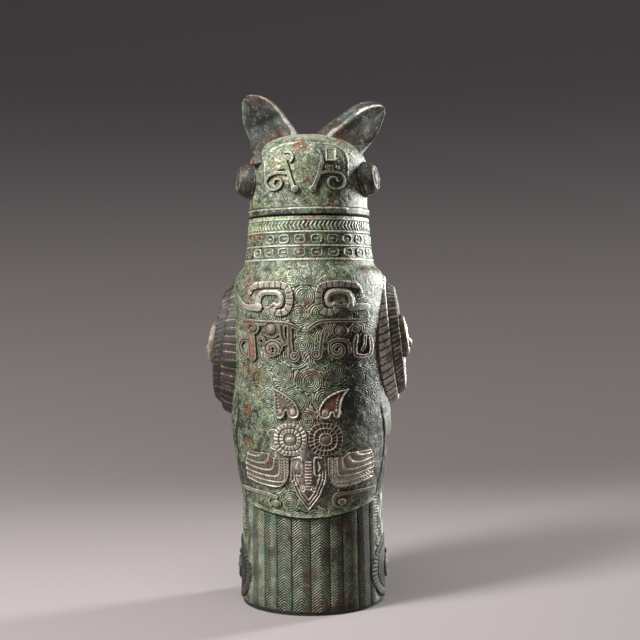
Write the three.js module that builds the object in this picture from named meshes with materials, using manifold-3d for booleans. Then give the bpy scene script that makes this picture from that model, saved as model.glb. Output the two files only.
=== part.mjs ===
// A bronze wine vessel in the form of a standing owl, in millimetres, +Z up.
// The owl's back faces -Y and its breast +Y; left and right are the owl's own, left being -X.
// The origin is the middle of the foot ring, on the surface that the vessel stands on.
// The trunk of the owl is the vessel, its head is the lid, and the lid lifts straight off.
import * as THREE from "three";
import { mergeVertices } from "three/addons/utils/BufferGeometryUtils.js";
import Module from "manifold-3d";

const wasm = await Module();
wasm.setup();

// Driving dimensions
const vesselHeight = 303; // foot to mouth
const wall = 4; // bronze thickness of trunk and foot
const floorThickness = 5; // floor of the wine chamber
const footRadius = 56; // foot ring, on the ground
const ankleRadius = 55; // top of the foot ring, under the skirt
const skirtHeight = 75; // lowest point of the scalloped edge over the tail
const skirtRise = 14; // how far that edge climbs from the middle to the flanks
const skirtRadius = 58.5;
const bellyRadius = 61.2;
const bellyHeight = 150; // widest level of the trunk
const shoulderRadius = 60;
const shoulderDrop = 57; // shoulder below the mouth
const collarRadius = 50.8; // foot of the neck
const collarDrop = 34.5; // foot of the neck below the mouth
const mouthRadius = 47;
const neckBeadDrops = [3.3, 12.6, 23.3, 33.2]; // beads between the neck's bands, below the mouth
const neckBeadRise = 0.7;
const neckBeadHalf = 0.9; // half a bead's width
const thighHeight = 104; // level where the flanks draw in to meet the foot ring
const featherEdges = [-52.4, -38.3, -26.4, -14, 0.7, 15.7, 26.4, 40.3, 54.2]; // degrees round the tail
const featherSwell = 0.9; // how far the middle of a tail feather stands out
const tailHem = 3.5; // plain edge below the feathers
const lidSeatGap = 0.4; // between the mouth and the lid's rim
const lidRimRadius = 48.2;
const lidRimHeight = 5.5; // plain band round the lid's edge
const headRadius = 46.6;
const headSideHeight = 38; // upright side of the head, above the rim
const headHeight = 66; // rim to crown
const lidWall = 3.5;
const tongueDepth = 14; // the lid's tongue in the mouth
const tongueWall = 3;
const tongueClearance = 0.6; // radial
const castingGap = 0.3; // between an applied casting and the surface that carries it

const earRootOut = 26; // ear root from the middle plane
const earRootHeight = 57.5; // above the lid's rim
const earForward = 3;
const earWidth = 39; // across the root
const earThickness = 15;
const earTall = 38; // root to tip
const earReach = 25; // how far the tip lies outside the root
const earLeanLeft = 0; // degrees that each ear leans out
const earLeanRight = 14;
const eyeHeight = 27; // above the lid's rim
const eyeBearing = 79; // degrees from the middle of the back
const eyeTilt = 8; // degrees that each eye looks up
const eyeBaseRadius = 14.5;
const eyeFaceRadius = 10.5;
const eyeStandOff = 12;
const beakHeight = 36; // beak root above the lid's rim
const beakReach = 13;
const beakDrop = 30; // root to hooked tip
const beakRootTall = 24;
const beakRootWide = 21;
const beakTipWide = 2;

const wingHeightLeft = 201.5; // middle of the wing
const wingHeightRight = 206;
const wingForward = 10;
const wingTall = 106;
const wingDeep = 70;
const wingSeat = 58; // wing's seat plane from the middle plane
const wingTurn = 4; // degrees that the pair is turned round the trunk, the right one to the back
const wingTilt = 4; // degrees that its lower end stands out
const wingRimRise = 6.5; // outer scale row
const wingBandRise = 14.3; // inner scale row
const wingFieldRise = 12; // flat field that carries the coil
const wingClearance = 1; // from a wing to the dragon's jaw beside it
const coilTall = 42;
const coilRise = 10.5;
const legHeight = 26.5; // middle of the thigh
const legForward = 2;
const legTall = 50;
const legDeep = 56;
const legRise = 1.2; // thigh plate
const legRimRise = 2.2; // its raised border
const legRimWidth = 6;
const legCoilTall = 26;
const legCoilRise = 1.6;
const toeRadius = 5.5;
const toeLength = 17;
const toeSpread = 9.5; // degrees between toes
const footBearing = 150; // degrees from the middle of the back

const lowRelief = 1.8; // dragons, masks and feathers
const eyeRelief = 2.4; // ringed eyes of the tail owl
const beakRelief = 3; // its beak
const dragonHeight = 238;
const maskHeight = 210;
const tailOwlHeight = 134; // eye line of the tail owl
const tailEyeRadius = 12.5;
const tailEyeGap = 0.8; // between the two ringed eyes
const tailBeakWide = 27.2;
const tailPieceGap = 0.7; // between neighbouring pieces of the tail owl
const headDragonHeight = 34; // above the lid's rim

const roundSides = 40; // facets round the trunk and the lid
const ovalSides = 30; // facets round the wings
const bossSides = 20; // facets round eyes and coils

// Finishes
const bronze = (color, roughness) => new THREE.MeshStandardMaterial({ color, roughness, metalness: 0.6 });
const greenBronze = () => bronze(0x4d5a47, 0.62);
const darkBronze = () => bronze(0x3c3a33, 0.52);
const brownBronze = () => bronze(0x5a4438, 0.5);

// Solids
const vec = (x, y) => new THREE.Vector2(x, y);
const degrees = THREE.MathUtils.degToRad;
const lerp = THREE.MathUtils.lerp;

function solidOf(geometry) {
  const bare = geometry.clone();
  bare.deleteAttribute("normal");
  bare.deleteAttribute("uv");
  const merged = mergeVertices(bare, 1e-4);
  const index = Array.from(merged.index.array);
  const triVerts = [];
  for (let i = 0; i < index.length; i += 3) {
    const [a, b, c] = index.slice(i, i + 3);
    if (a !== b && b !== c && c !== a) triVerts.push(a, b, c);
  }
  const mesh = new wasm.Mesh({
    numProp: 3,
    vertProperties: merged.attributes.position.array,
    triVerts: new Uint32Array(triVerts),
  });
  return new wasm.Manifold(mesh);
}

function geometryOf(solid) {
  const { vertProperties, triVerts } = solid.getMesh();
  const geometry = new THREE.BufferGeometry();
  geometry.setAttribute("position", new THREE.BufferAttribute(vertProperties, 3));
  geometry.setIndex(new THREE.BufferAttribute(triVerts, 1));
  geometry.computeVertexNormals();
  return geometry;
}

// A solid of revolution about Z; the profile runs anticlockwise, as (radius, height).
function revolve(profile, sides = roundSides) {
  return new THREE.LatheGeometry(profile, sides).rotateX(Math.PI / 2);
}

// A prism of an outline drawn as (x, z), from the middle plane out through the owl's back.
function prismThroughBack(shape) {
  const depth = 2 * bellyRadius;
  return solidOf(new THREE.ExtrudeGeometry(shape, { depth, bevelEnabled: false }).rotateX(Math.PI / 2));
}

// The same prism turned out through a flank: there x runs to the breast on the right side only.
function prismThroughFlank(shape, side) {
  return prismThroughBack(shape).rotate([0, 0, side * 90]);
}

// A body swept along a spine, with a section of (along, across) offsets at each step.
function loft(spine, across, steps, section) {
  const position = [];
  const index = [];
  const sides = section(0).length;
  for (let i = 0; i <= steps; i++) {
    const t = i / steps;
    const along = across.clone().cross(spine.getTangent(t)).normalize();
    for (const offset of section(t)) {
      const p = spine.getPoint(t).addScaledVector(along, offset.x).addScaledVector(across, offset.y);
      position.push(p.x, p.y, p.z);
    }
  }
  for (let i = 0; i < steps; i++) {
    for (let k = 0; k < sides; k++) {
      const a = i * sides + k;
      const b = i * sides + ((k + 1) % sides);
      index.push(a, b, a + sides, b, b + sides, a + sides);
    }
  }
  for (let k = 1; k < sides - 1; k++) {
    index.push(0, k + 1, k);
    const last = steps * sides;
    index.push(last, last + k, last + k + 1);
  }
  const geometry = new THREE.BufferGeometry();
  geometry.setAttribute("position", new THREE.Float32BufferAttribute(position, 3));
  geometry.setIndex(index);
  return geometry;
}

// Outline of a drawn stroke with round ends, whose width runs from one end's to the other's.
function stroke(points, startWidth, endWidth, side = 1, samples = 3 * (points.length - 1)) {
  const line = new THREE.SplineCurve(points.map(([x, z]) => vec(side * x, z)));
  const left = [];
  const right = [];
  for (let i = 0; i <= samples; i++) {
    const t = i / samples;
    const tangent = line.getTangent(t);
    const half = lerp(startWidth, endWidth, t) / 2;
    const normal = vec(-tangent.y, tangent.x).multiplyScalar(half);
    left.push(line.getPoint(t).add(normal));
    right.push(line.getPoint(t).sub(normal));
  }
  const roundEnd = (from, to) => {
    const middle = from.clone().add(to).multiplyScalar(0.5);
    return [1, 2].map((k) => from.clone().rotateAround(middle, (-k * Math.PI) / 3));
  };
  const far = roundEnd(left.at(-1), right.at(-1));
  const near = roundEnd(right[0], left[0]);
  return new THREE.Shape([...left, ...far, ...right.reverse(), ...near]);
}

// Points of a spiral that winds in from a start bearing, in degrees.
function spiralPoints([x, z], outer, inner, startBearing, turns) {
  const count = Math.max(4, Math.round(8 * Math.abs(turns)));
  return Array.from({ length: count + 1 }, (_, i) => {
    const t = i / count;
    const bearing = degrees(startBearing + 360 * turns * t);
    const radius = lerp(outer, inner, t);
    return [x + radius * Math.cos(bearing), z + radius * Math.sin(bearing)];
  });
}

function oval(x, z, halfWide, halfTall, sides = bossSides) {
  const ring = Array.from({ length: sides }, (_, i) => {
    const bearing = (2 * Math.PI * i) / sides;
    return vec(x + halfWide * Math.cos(bearing), z + halfTall * Math.sin(bearing));
  });
  return new THREE.Shape(ring);
}
const disc = (x, z, radius, sides) => oval(x, z, radius, radius, sides);

// A profile moved outwards along its own normals.
function offsetProfile(profile, distance) {
  return profile.map((p, i) => {
    const before = profile[Math.max(0, i - 1)];
    const after = profile[Math.min(profile.length - 1, i + 1)];
    const run = after.clone().sub(before).normalize();
    const moved = p.clone().add(vec(run.y, -run.x).multiplyScalar(distance));
    return vec(Math.max(0, moved.x), moved.y);
  });
}

// The solid inside a profile that climbs from low to high, closed along the axis.
function filled(profile) {
  return solidOf(revolve([vec(0, profile[0].y), ...profile, vec(0, profile.at(-1).y)]));
}

// Trunk: outer form
const shoulderHeight = vesselHeight - shoulderDrop;
const collarHeight = vesselHeight - collarDrop;
const trunkCurve = new THREE.SplineCurve([
  vec(skirtRadius, skirtHeight),
  vec(bellyRadius, bellyHeight),
  vec(shoulderRadius, shoulderHeight),
  vec(collarRadius, collarHeight),
  vec(mouthRadius, vesselHeight),
]);
const trunkProfile = trunkCurve.getPoints(14);
const trunkClearance = filled(offsetProfile(trunkProfile, castingGap));

// Foot ring: a hollow drum whose back carries the tail feathers
const footTop = skirtHeight + skirtRise + wall;
const footProfile = [vec(footRadius, 0), vec(ankleRadius, skirtHeight), vec(ankleRadius, footTop)];
const footClearance = filled([
  vec(footRadius + castingGap, -castingGap),
  vec(ankleRadius + castingGap, skirtHeight),
  vec(ankleRadius + castingGap, footTop),
]);

// What lies below the scalloped lower edge of the trunk
function belowSkirtEdge() {
  const outside = bellyRadius + wall;
  const edge = new THREE.QuadraticBezierCurve(
    vec(-outside, skirtHeight + skirtRise),
    vec(0, skirtHeight - skirtRise),
    vec(outside, skirtHeight + skirtRise),
  );
  const low = skirtHeight - 2 * skirtRise;
  const shape = new THREE.Shape([vec(-outside, low), vec(outside, low), ...edge.getPoints(16).reverse()]);
  return prismThroughBack(shape).translate([0, bellyRadius, 0]);
}

// What lies between the flanks, which draw in over the thighs to meet the foot ring
function betweenFlanks(inset) {
  const outside = bellyRadius + wall - inset;
  const edge = new THREE.QuadraticBezierCurve(
    vec(ankleRadius + castingGap - inset, skirtHeight + skirtRise - wall),
    vec(bellyRadius - inset, thighHeight),
    vec(outside, bellyHeight),
  );
  const right = [vec(edge.v0.x, 0), ...edge.getPoints(6), vec(outside, 2 * vesselHeight)];
  const left = right.map((p) => vec(-p.x, p.y)).reverse();
  return prismThroughBack(new THREE.Shape([...right, ...left])).translate([0, bellyRadius, 0]).scale([1, 1.1, 1]);
}

// The trunk, with a plain bead between each two bands of its neck
function trunk() {
  const neckPoint = (level, rise) => {
    const share = (level - collarHeight) / (vesselHeight - collarHeight);
    return vec(lerp(collarRadius, mouthRadius, share) + rise, level);
  };
  const neck = neckBeadDrops.toReversed().flatMap((drop) => {
    const level = vesselHeight - drop;
    return [
      neckPoint(level - neckBeadHalf, 0),
      neckPoint(level, neckBeadRise),
      neckPoint(level + neckBeadHalf, 0),
    ];
  });
  const below = trunkProfile.filter((p) => p.y < collarHeight - neckBeadHalf);
  return filled([...below, vec(collarRadius, collarHeight), ...neck, vec(mouthRadius, vesselHeight)]);
}

// The tail: a fan of feathers, each a shallow rib down the back of the foot ring
function tailFan() {
  const rib = [0, 0.2, 0.5, 0.8];
  const ribs = featherEdges.slice(1).flatMap((edge, i) =>
    rib.map((t) => [lerp(featherEdges[i], edge, t), featherSwell * Math.sin(Math.PI * t)]),
  );
  const outline = [...ribs, [featherEdges.at(-1), 0]].map(([bearing, swell]) => {
    const radius = footRadius + swell;
    return [radius * Math.sin(degrees(bearing)), -radius * Math.cos(degrees(bearing))];
  });
  const taper = ankleRadius / footRadius;
  const fan = wasm.Manifold.extrude([[[0, 0], ...outline]], skirtHeight + skirtRise, 0, 0, [taper, taper]);
  return fan.trimByPlane([0, 0, 1], tailHem);
}

// The wine chamber inside the trunk, and the hollow under its floor
const floorTop = skirtHeight + skirtRise;
const chamberProfile = [
  vec(ankleRadius - wall, floorTop),
  vec(skirtRadius - wall, floorTop + wall),
  vec(bellyRadius - wall, bellyHeight),
  vec(shoulderRadius - wall, shoulderHeight),
  vec(collarRadius - wall, collarHeight),
  vec(mouthRadius - wall, vesselHeight - tongueDepth),
  vec(mouthRadius - wall, vesselHeight + wall),
];
const footHollowProfile = [
  vec(footRadius - wall, -wall),
  vec(footRadius - wall, 0),
  vec(ankleRadius - wall, floorTop - floorThickness),
];

function vesselBody() {
  const upper = trunk().intersect(betweenFlanks(0)).subtract(belowSkirtEdge());
  const outside = upper.add(filled(footProfile)).add(tailFan());
  const chamber = filled(chamberProfile).intersect(betweenFlanks(wall));
  return geometryOf(outside.subtract(chamber).subtract(filled(footHollowProfile)));
}

// Lid: the owl's head
const rimHeight = vesselHeight + lidSeatGap;
const headProfile = [
  vec(lidRimRadius, rimHeight),
  vec(lidRimRadius, rimHeight + lidRimHeight),
  vec(headRadius, rimHeight + lidRimHeight + (lidRimRadius - headRadius)),
  vec(headRadius, rimHeight + headSideHeight),
];
const crownCurve = new THREE.CubicBezierCurve(
  vec(headRadius, rimHeight + headSideHeight),
  vec(headRadius, lerp(rimHeight + headSideHeight, rimHeight + headHeight, 0.62)),
  vec(0.62 * headRadius, rimHeight + headHeight),
  vec(0, rimHeight + headHeight),
);
const headOutline = [...headProfile, ...crownCurve.getPoints(7).slice(1)];
const headClearance = filled(offsetProfile(headOutline, castingGap));
const tongueRadius = mouthRadius - wall - tongueClearance;

function lidShell() {
  const inside = tongueRadius - tongueWall;
  const hollow = offsetProfile(headOutline.slice(3), -lidWall).map((p) => vec(Math.min(p.x, inside), p.y));
  const profile = [
    ...headOutline.slice().reverse(),
    vec(tongueRadius, rimHeight),
    vec(tongueRadius, vesselHeight - tongueDepth),
    vec(inside, vesselHeight - tongueDepth),
    ...hollow,
  ];
  profile[profile.length - 1].x = 0;
  return revolve(profile.reverse());
}

// Placement: each casting is shaped in its own frame, then cut to sit on its carrier
function place(mesh, [x, y, z], [rx, ry, rz] = [0, 0, 0]) {
  mesh.position.set(x, y, z);
  mesh.rotation.set(degrees(rx), degrees(ry), degrees(rz), "ZYX");
  mesh.updateMatrix();
  return mesh;
}

function cutToSeat(solid, frame, ...carriers) {
  const toLocal = frame.matrix.clone().invert().toArray();
  return carriers.reduce((left, carrier) => left.subtract(carrier.transform(toLocal)), solid);
}

function casting(name, geometry, finish) {
  const mesh = new THREE.Mesh(geometry, finish());
  mesh.name = name;
  return mesh;
}

// Ears: broad curved blades, thick along the inner edge and thin along the outer one
function ear(name, side, lean) {
  const root = [side * earRootOut, earForward, rimHeight + earRootHeight];
  const frame = place(new THREE.Group(), root, [0, side * lean, 0]);
  const spine = new THREE.CatmullRomCurve3(
    [
      [-0.16, -0.34],
      [0, 0],
      [0.24, 0.37],
      [0.46, 0.69],
      [0.68, 0.9],
      [1, 1],
    ].map(([x, z]) => new THREE.Vector3(side * x * earReach, 0, z * earTall)),
  );
  const across = new THREE.Vector3(0, side, 0);
  const section = (t) => {
    const half = (earWidth / 2) * (1.04 - 0.42 * t - 0.54 * t ** 5);
    const thick = earThickness * (1 - 0.62 * t);
    return Array.from({ length: 14 }, (_, k) => {
      const turn = (2 * Math.PI * k) / 14;
      const body = lerp(1, 0.45, (1 + Math.cos(turn)) / 2);
      return vec(half * Math.cos(turn), (thick / 2) * body * Math.sin(turn));
    });
  };
  const solid = cutToSeat(solidOf(loft(spine, across, 10, section)), frame, headClearance);
  return frame.add(casting(name, geometryOf(solid), darkBronze));
}

// Eyes: blunt cones with a sunk face and a round pupil
function eye(name, side) {
  const bearing = degrees(eyeBearing);
  const out = headRadius - eyeBaseRadius;
  const frame = place(
    new THREE.Group(),
    [side * out * Math.sin(bearing), -out * Math.cos(bearing), rimHeight + eyeHeight],
    [0, 90 - eyeTilt, side > 0 ? eyeBearing - 90 : 270 - eyeBearing],
  );
  const face = eyeBaseRadius + eyeStandOff;
  const profile = [
    vec(0, 0),
    vec(eyeBaseRadius, 0),
    vec(eyeBaseRadius, eyeBaseRadius),
    vec(eyeBaseRadius, eyeBaseRadius + 0.2 * eyeStandOff),
    vec(eyeFaceRadius, face - 1),
    vec(eyeFaceRadius - 1, face),
    vec(eyeFaceRadius - 2, face - 0.8),
    vec(0.55 * eyeFaceRadius, face - 0.8),
    vec(0.35 * eyeFaceRadius, face + 0.6),
    vec(0, face + 1),
  ];
  const solid = cutToSeat(solidOf(revolve(profile, bossSides)), frame, headClearance);
  return frame.add(casting(name, geometryOf(solid), darkBronze));
}

// Beak: hooked, on the breast side of the head
function beak() {
  const frame = place(new THREE.Group(), [0, headRadius, rimHeight + beakHeight]);
  const spine = new THREE.CatmullRomCurve3(
    [
      [-0.45, 0.2],
      [0.3, 0.13],
      [0.85, -0.17],
      [1, -0.53],
      [0.8, -0.87],
    ].map(([y, z]) => new THREE.Vector3(0, y * beakReach, z * beakDrop)),
  );
  const section = (t) => {
    const tall = lerp(beakRootTall, beakTipWide, t) / 2;
    const wide = lerp(beakRootWide, beakTipWide, t) / 2;
    return Array.from({ length: 12 }, (_, k) => {
      const turn = (2 * Math.PI * k) / 12;
      return vec(tall * Math.cos(turn), wide * Math.sin(turn));
    });
  };
  const solid = cutToSeat(solidOf(loft(spine, new THREE.Vector3(1, 0, 0), 9, section)), frame, headClearance);
  return frame.add(casting("beak", geometryOf(solid), darkBronze));
}

// An oval plate that stands on the owl's side; its profile is (radius, rise) at the oval's tall end
function ovalPlate(profile, tall, deep, side) {
  const oval = revolve(profile, ovalSides).scale(1, deep / tall, 1);
  return solidOf(oval.rotateY((side * Math.PI) / 2));
}

// Wings: two stepped rows of scales round a flat field
function wingFrame(side) {
  const seat = [side * wingSeat, wingForward, side < 0 ? wingHeightLeft : wingHeightRight];
  const frame = place(new THREE.Group(), seat, [0, -side * wingTilt, 0]);
  frame.applyMatrix4(new THREE.Matrix4().makeRotationZ(-degrees(wingTurn)));
  return frame;
}

function wing(side, label) {
  const frame = wingFrame(side);
  const half = wingTall / 2;
  const rimRow = 0.17 * half; // width of the outer scale row
  const bandRow = 0.24 * half; // width of the inner scale row
  const bandOut = half - rimRow;
  const fieldOut = bandOut - bandRow;
  const profile = [
    vec(0, -wingSeat / 2),
    vec(half, -wingSeat / 2),
    vec(half, 0.35 * wingRimRise),
    vec(half - 0.3 * rimRow, 0.9 * wingRimRise),
    vec(half - 0.6 * rimRow, wingRimRise),
    vec(bandOut, 0.85 * wingRimRise),
    vec(bandOut - 0.3 * bandRow, 0.9 * wingBandRise),
    vec(bandOut - 0.65 * bandRow, wingBandRise),
    vec(fieldOut, wingFieldRise),
    vec(0, wingFieldRise),
  ];
  const plate = cutToSeat(ovalPlate(profile, wingTall, wingDeep, side), frame, trunkClearance);
  frame.add(casting(`wing_${label}`, geometryOf(plate), darkBronze));
  frame.add(coil(`wing_coil_${label}`, side, wingFieldRise, coilTall, wingDeep / wingTall, coilRise));
  return frame;
}

// The room that a wing and its clearance take up on the trunk
function wingRoom(side) {
  const tall = wingTall + 2 * wingClearance;
  const deep = wingDeep + 2 * wingClearance;
  const low = -wingSeat / 2;
  const block = [vec(0, low), vec(tall / 2, low), vec(tall / 2, wingBandRise), vec(0, wingBandRise)];
  return ovalPlate(block, tall, deep, side).transform(wingFrame(side).matrix.toArray());
}

// A coiled snake on a thin disc, wound in towards its raised head
function coil(name, side, seat, tall, squeeze, rise) {
  const turns = 1.75;
  const rope = 0.105 * tall; // half the snake's thickness
  const points = spiralPoints([0, 0], tall / 2 - rope, 1.1 * rope, 90, side * turns);
  const path = new THREE.CatmullRomCurve3(points.map(([x, y]) => new THREE.Vector3(x, y, rise - rope)));
  const section = (t) => {
    const radius = rope * lerp(0.55, 1, Math.min(1, 3 * t));
    return Array.from({ length: 6 }, (_, k) => {
      const turn = (2 * Math.PI * k) / 6;
      return vec(radius * Math.cos(turn), radius * Math.sin(turn));
    });
  };
  const snake = solidOf(loft(path, new THREE.Vector3(0, 0, 1), 26, section));
  const head = solidOf(new THREE.SphereGeometry(1.3 * rope, 8, 5).translate(0, 0, rise - rope));
  const discRise = rise - 1.6 * rope;
  const base = [vec(0, 0), vec(tall / 2, 0), vec(tall / 2 - rope / 3, discRise), vec(0, discRise)];
  const whole = solidOf(revolve(base, bossSides)).add(snake).add(head);
  const geometry = geometryOf(whole).scale(1, squeeze, 1).translate(0, 0, seat + castingGap);
  return casting(name, geometry.rotateY((side * Math.PI) / 2), brownBronze);
}

// Legs: thigh plates in relief on the foot ring, with a raised border and a coil
const footShell = (low, high) => {
  const skin = (rise) => filled(offsetProfile(footProfile, castingGap + rise));
  return skin(high).subtract(skin(low));
};

function leg(side, label) {
  const plan = (shrink) => {
    const shape = oval(side * legForward, legHeight, legDeep / 2 - shrink, legTall / 2 - shrink);
    return prismThroughFlank(shape, side);
  };
  const plate = plan(0).intersect(footShell(0, legRimRise));
  const field = plan(legRimWidth).intersect(footShell(legRise, 2 * legRimRise));
  return casting(`leg_${label}`, geometryOf(plate.subtract(field)), darkBronze);
}

function legCoil(side, label) {
  const rope = 0.15 * legCoilTall; // width of the coiled line
  const middle = [side * legForward, legHeight];
  const line = spiralPoints(middle, legCoilTall / 2 - rope / 2, rope, 90, -side * 1.5);
  const drawn = prismThroughFlank(stroke(line, rope, rope, 1, 20), side);
  const low = legRise + castingGap;
  const geometry = geometryOf(drawn.intersect(footShell(low, low + legCoilRise)));
  return casting(`leg_coil_${label}`, geometry, brownBronze);
}

// Feet: three toes in relief round the front of the foot ring
function foot(side, label) {
  const toes = [-1, 0, 1].map((k) => {
    const bearing = degrees(footBearing + k * toeSpread);
    const long = k === 0 ? toeLength : 0.85 * toeLength;
    const toe = new THREE.CapsuleGeometry(toeRadius, long - toeRadius, 3, 10).rotateX(Math.PI / 2);
    toe.translate(side * footRadius * Math.sin(bearing), -footRadius * Math.cos(bearing), long / 2);
    return solidOf(toe);
  });
  const ground = filled([vec(2 * footRadius, -footRadius), vec(2 * footRadius, 0)]);
  const joined = toes.reduce((left, toe) => left.add(toe));
  const geometry = geometryOf(joined.subtract(ground).subtract(footClearance));
  return casting(`foot_${label}`, geometry, darkBronze);
}

// Low relief on the owl's back: drawn outlines that follow the surface
function reliefShell(outline, rise) {
  const outer = filled(offsetProfile(outline, castingGap + rise));
  return outer.subtract(filled(offsetProfile(outline, castingGap)));
}
const trunkRelief = reliefShell(trunkProfile, lowRelief);
const headRelief = reliefShell(headOutline, lowRelief);

const joinedPrisms = (shapes) => shapes.map(prismThroughBack).reduce((left, prism) => left.add(prism));

function relief(name, shapes, shell, material) {
  return casting(name, geometryOf(joinedPrisms(shapes).intersect(shell)), material);
}

function largestPiece(solid) {
  return solid.decompose().reduce((best, piece) => (piece.volume() > best.volume() ? piece : best));
}

const raised = (points, height) => points.map(([x, z]) => [x, z + height]);

// A dragon in profile: jaws outward, its body arched over and curled under, short of the wing
function backDragon(side, label) {
  const at = (points) => raised(points, dragonHeight);
  const curl = [[25.5, -3.5], [21.5, -7.6], [15.6, -6.2], [14.4, 2]];
  const arch = [...curl, [18, 8], [26, 9.3], [33, 8.2], [38, 3], [40, -3]];
  const shapes = [
    stroke(at(arch), 7, 9.5, side),
    stroke(at([[39, -3.2], [45, -3.6], [49.5, -0.5], [51, 3]]), 7, 3, side),
    stroke(at([[33, 9], [38.5, 10], [42, 6.5]]), 7, 4, side),
  ];
  const clear = joinedPrisms(shapes).intersect(trunkRelief).subtract(wingRoom(side));
  return casting(`back_dragon_${label}`, geometryOf(largestPiece(clear)), brownBronze);
}

// Half of a beast mask: brow, nose, eye and curled jaw
function backMask(side, label) {
  const at = (points) => raised(points, maskHeight);
  const shapes = [
    stroke(at([[3.5, 8], [9, 10.5], [26, 11], [43, 11.5]]), 4, 4.5, side),
    stroke(at([[10, 10], [9.6, 0], [8.4, -12]]), 4.5, 4.5, side),
    disc(side * 7.4, maskHeight - 12.6, 3.6, 16),
    disc(side * 24.9, maskHeight + 5.5, 7.2),
    stroke(at(spiralPoints([23, -9.5], 7, 2.2, 100, -1.1)), 4, 3, side, 12),
    stroke(at([[23.4, -3.6], [25.2, 3]]), 4.4, 4.4, side),
    stroke(at([[38.5, 11], [37.5, 3], [38.2, -6], [41.4, -12], [46, -10.2], [47, -4.4]]), 6, 3.4, side),
  ];
  return relief(`back_mask_${label}`, shapes, trunkRelief, brownBronze);
}

// The small owl in flight over the tail: every other piece stops short of its ringed eyes
const tailEyeOut = tailEyeRadius + tailEyeGap / 2;

function besideEyes(name, outline, rise, material) {
  const room = [1, -1].map((side) => disc(side * tailEyeOut, tailOwlHeight, tailEyeRadius + tailPieceGap));
  const cut = (left, round) => left.subtract(prismThroughBack(round));
  const drawn = room.reduce(cut, prismThroughBack(outline));
  const clear = drawn.intersect(reliefShell(trunkProfile, rise));
  return casting(name, geometryOf(largestPiece(clear)), material);
}

function tailOwlEar(side, label) {
  const at = (x, z) => vec(side * x, tailOwlHeight + z);
  const shape = new THREE.Shape();
  const tip = at(28.5, 38.5);
  shape.moveTo(tip.x, tip.y);
  const bend = (...points) => shape.bezierCurveTo(...points.flatMap(([x, z]) => at(x, z).toArray()));
  bend([20, 37], [8, 30], [6.4, 20]);
  bend([6, 10.5], [15, 9.5], [15.6, 15.2]);
  bend([16.5, 9.5], [25, 10], [24.8, 17]);
  bend([24.6, 24], [26, 31], [28.5, 38.5]);
  return besideEyes(`tail_owl_ear_${label}`, new THREE.Shape(shape.getPoints(7)), lowRelief, brownBronze);
}

function tailOwlEye(side, label) {
  const round = disc(side * tailEyeOut, tailOwlHeight, tailEyeRadius);
  return relief(`tail_owl_eye_${label}`, [round], reliefShell(trunkProfile, eyeRelief), brownBronze);
}

function tailOwlBeak() {
  const at = (x, z) => vec((x * tailBeakWide) / 2, tailOwlHeight + z);
  const half = [
    [0.15, -1],
    [0.97, -13],
    [1, -24],
    [0.97, -31],
    [0.6, -43],
  ];
  const rightSide = half.map(([x, z]) => at(x, z));
  const leftSide = half.map(([x, z]) => at(-x, z)).reverse();
  const outline = new THREE.Shape([...rightSide, at(0, -54), ...leftSide]);
  return besideEyes("tail_owl_beak", outline, beakRelief, darkBronze);
}

function tailOwlWing(side, label) {
  const at = ([x, z]) => vec(side * x, tailOwlHeight + z);
  const inner = tailBeakWide / 2 + tailPieceGap;
  const lowerEdge = [[inner, -14.5], [inner + 0.6, -28], [21, -36], [33, -35.5], [46, -31]];
  const root = new THREE.SplineCurve(lowerEdge.map(at));
  const tips = new THREE.SplineCurve([[46, -31], [47.5, -21], [46, -10.5]].map(at));
  const outline = new THREE.Shape([...root.getPoints(16), ...tips.getPoints(4).slice(1), at([27, -12])]);
  return besideEyes(`tail_owl_wing_${label}`, outline, lowRelief, brownBronze);
}

function tailOwlClaw(side, label) {
  const limb = raised([[48, -40], [37, -42], [27, -43], [22, -46]], tailOwlHeight);
  return relief(`tail_owl_claw_${label}`, [stroke(limb, 4, 5, side)], trunkRelief, brownBronze);
}

// A trunked dragon on the back of the head
function headDragon(side, label) {
  const at = (points) => raised(points, rimHeight + headDragonHeight);
  const shapes = [
    stroke(at([[12, 12], [12.5, 4], [10, -4], [7, -14.5]]), 6, 5, side),
    stroke(at([[12.5, 6], [20, 5], [26, 3]]), 8, 6, side),
    stroke(at([[25, 4], ...spiralPoints([21.9, -9], 7, 2.4, 60, -1.15)]), 4.5, 3, side, 16),
  ];
  return relief(`head_dragon_${label}`, shapes, headRelief, greenBronze);
}

// Assembly: everything that stays on the vessel, and everything that lifts with the lid
const owlVessel = new THREE.Group();
const vessel = new THREE.Group();
const lid = new THREE.Group();
owlVessel.add(vessel, lid);
vessel.add(casting("vessel_body", vesselBody(), greenBronze), tailOwlBeak());
lid.add(casting("lid_shell", lidShell(), greenBronze), beak());
for (const [side, label] of [
  [-1, "left"],
  [1, "right"],
]) {
  vessel.add(wing(side, label), leg(side, label), legCoil(side, label), foot(side, label));
  vessel.add(backDragon(side, label), backMask(side, label));
  vessel.add(tailOwlEar(side, label), tailOwlEye(side, label));
  vessel.add(tailOwlWing(side, label), tailOwlClaw(side, label));
  lid.add(ear(`ear_${label}`, side, side < 0 ? earLeanLeft : earLeanRight));
  lid.add(eye(`eye_${label}`, side), headDragon(side, label));
}

export default owlVessel;
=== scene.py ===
"""Dresses the bronze owl vessel: its cast relief, spiral ground and patina, on a plain studio stage."""

import math
from functools import partial

import bmesh
import bpy
import numpy as np
from mathutils import Matrix, Vector


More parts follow.
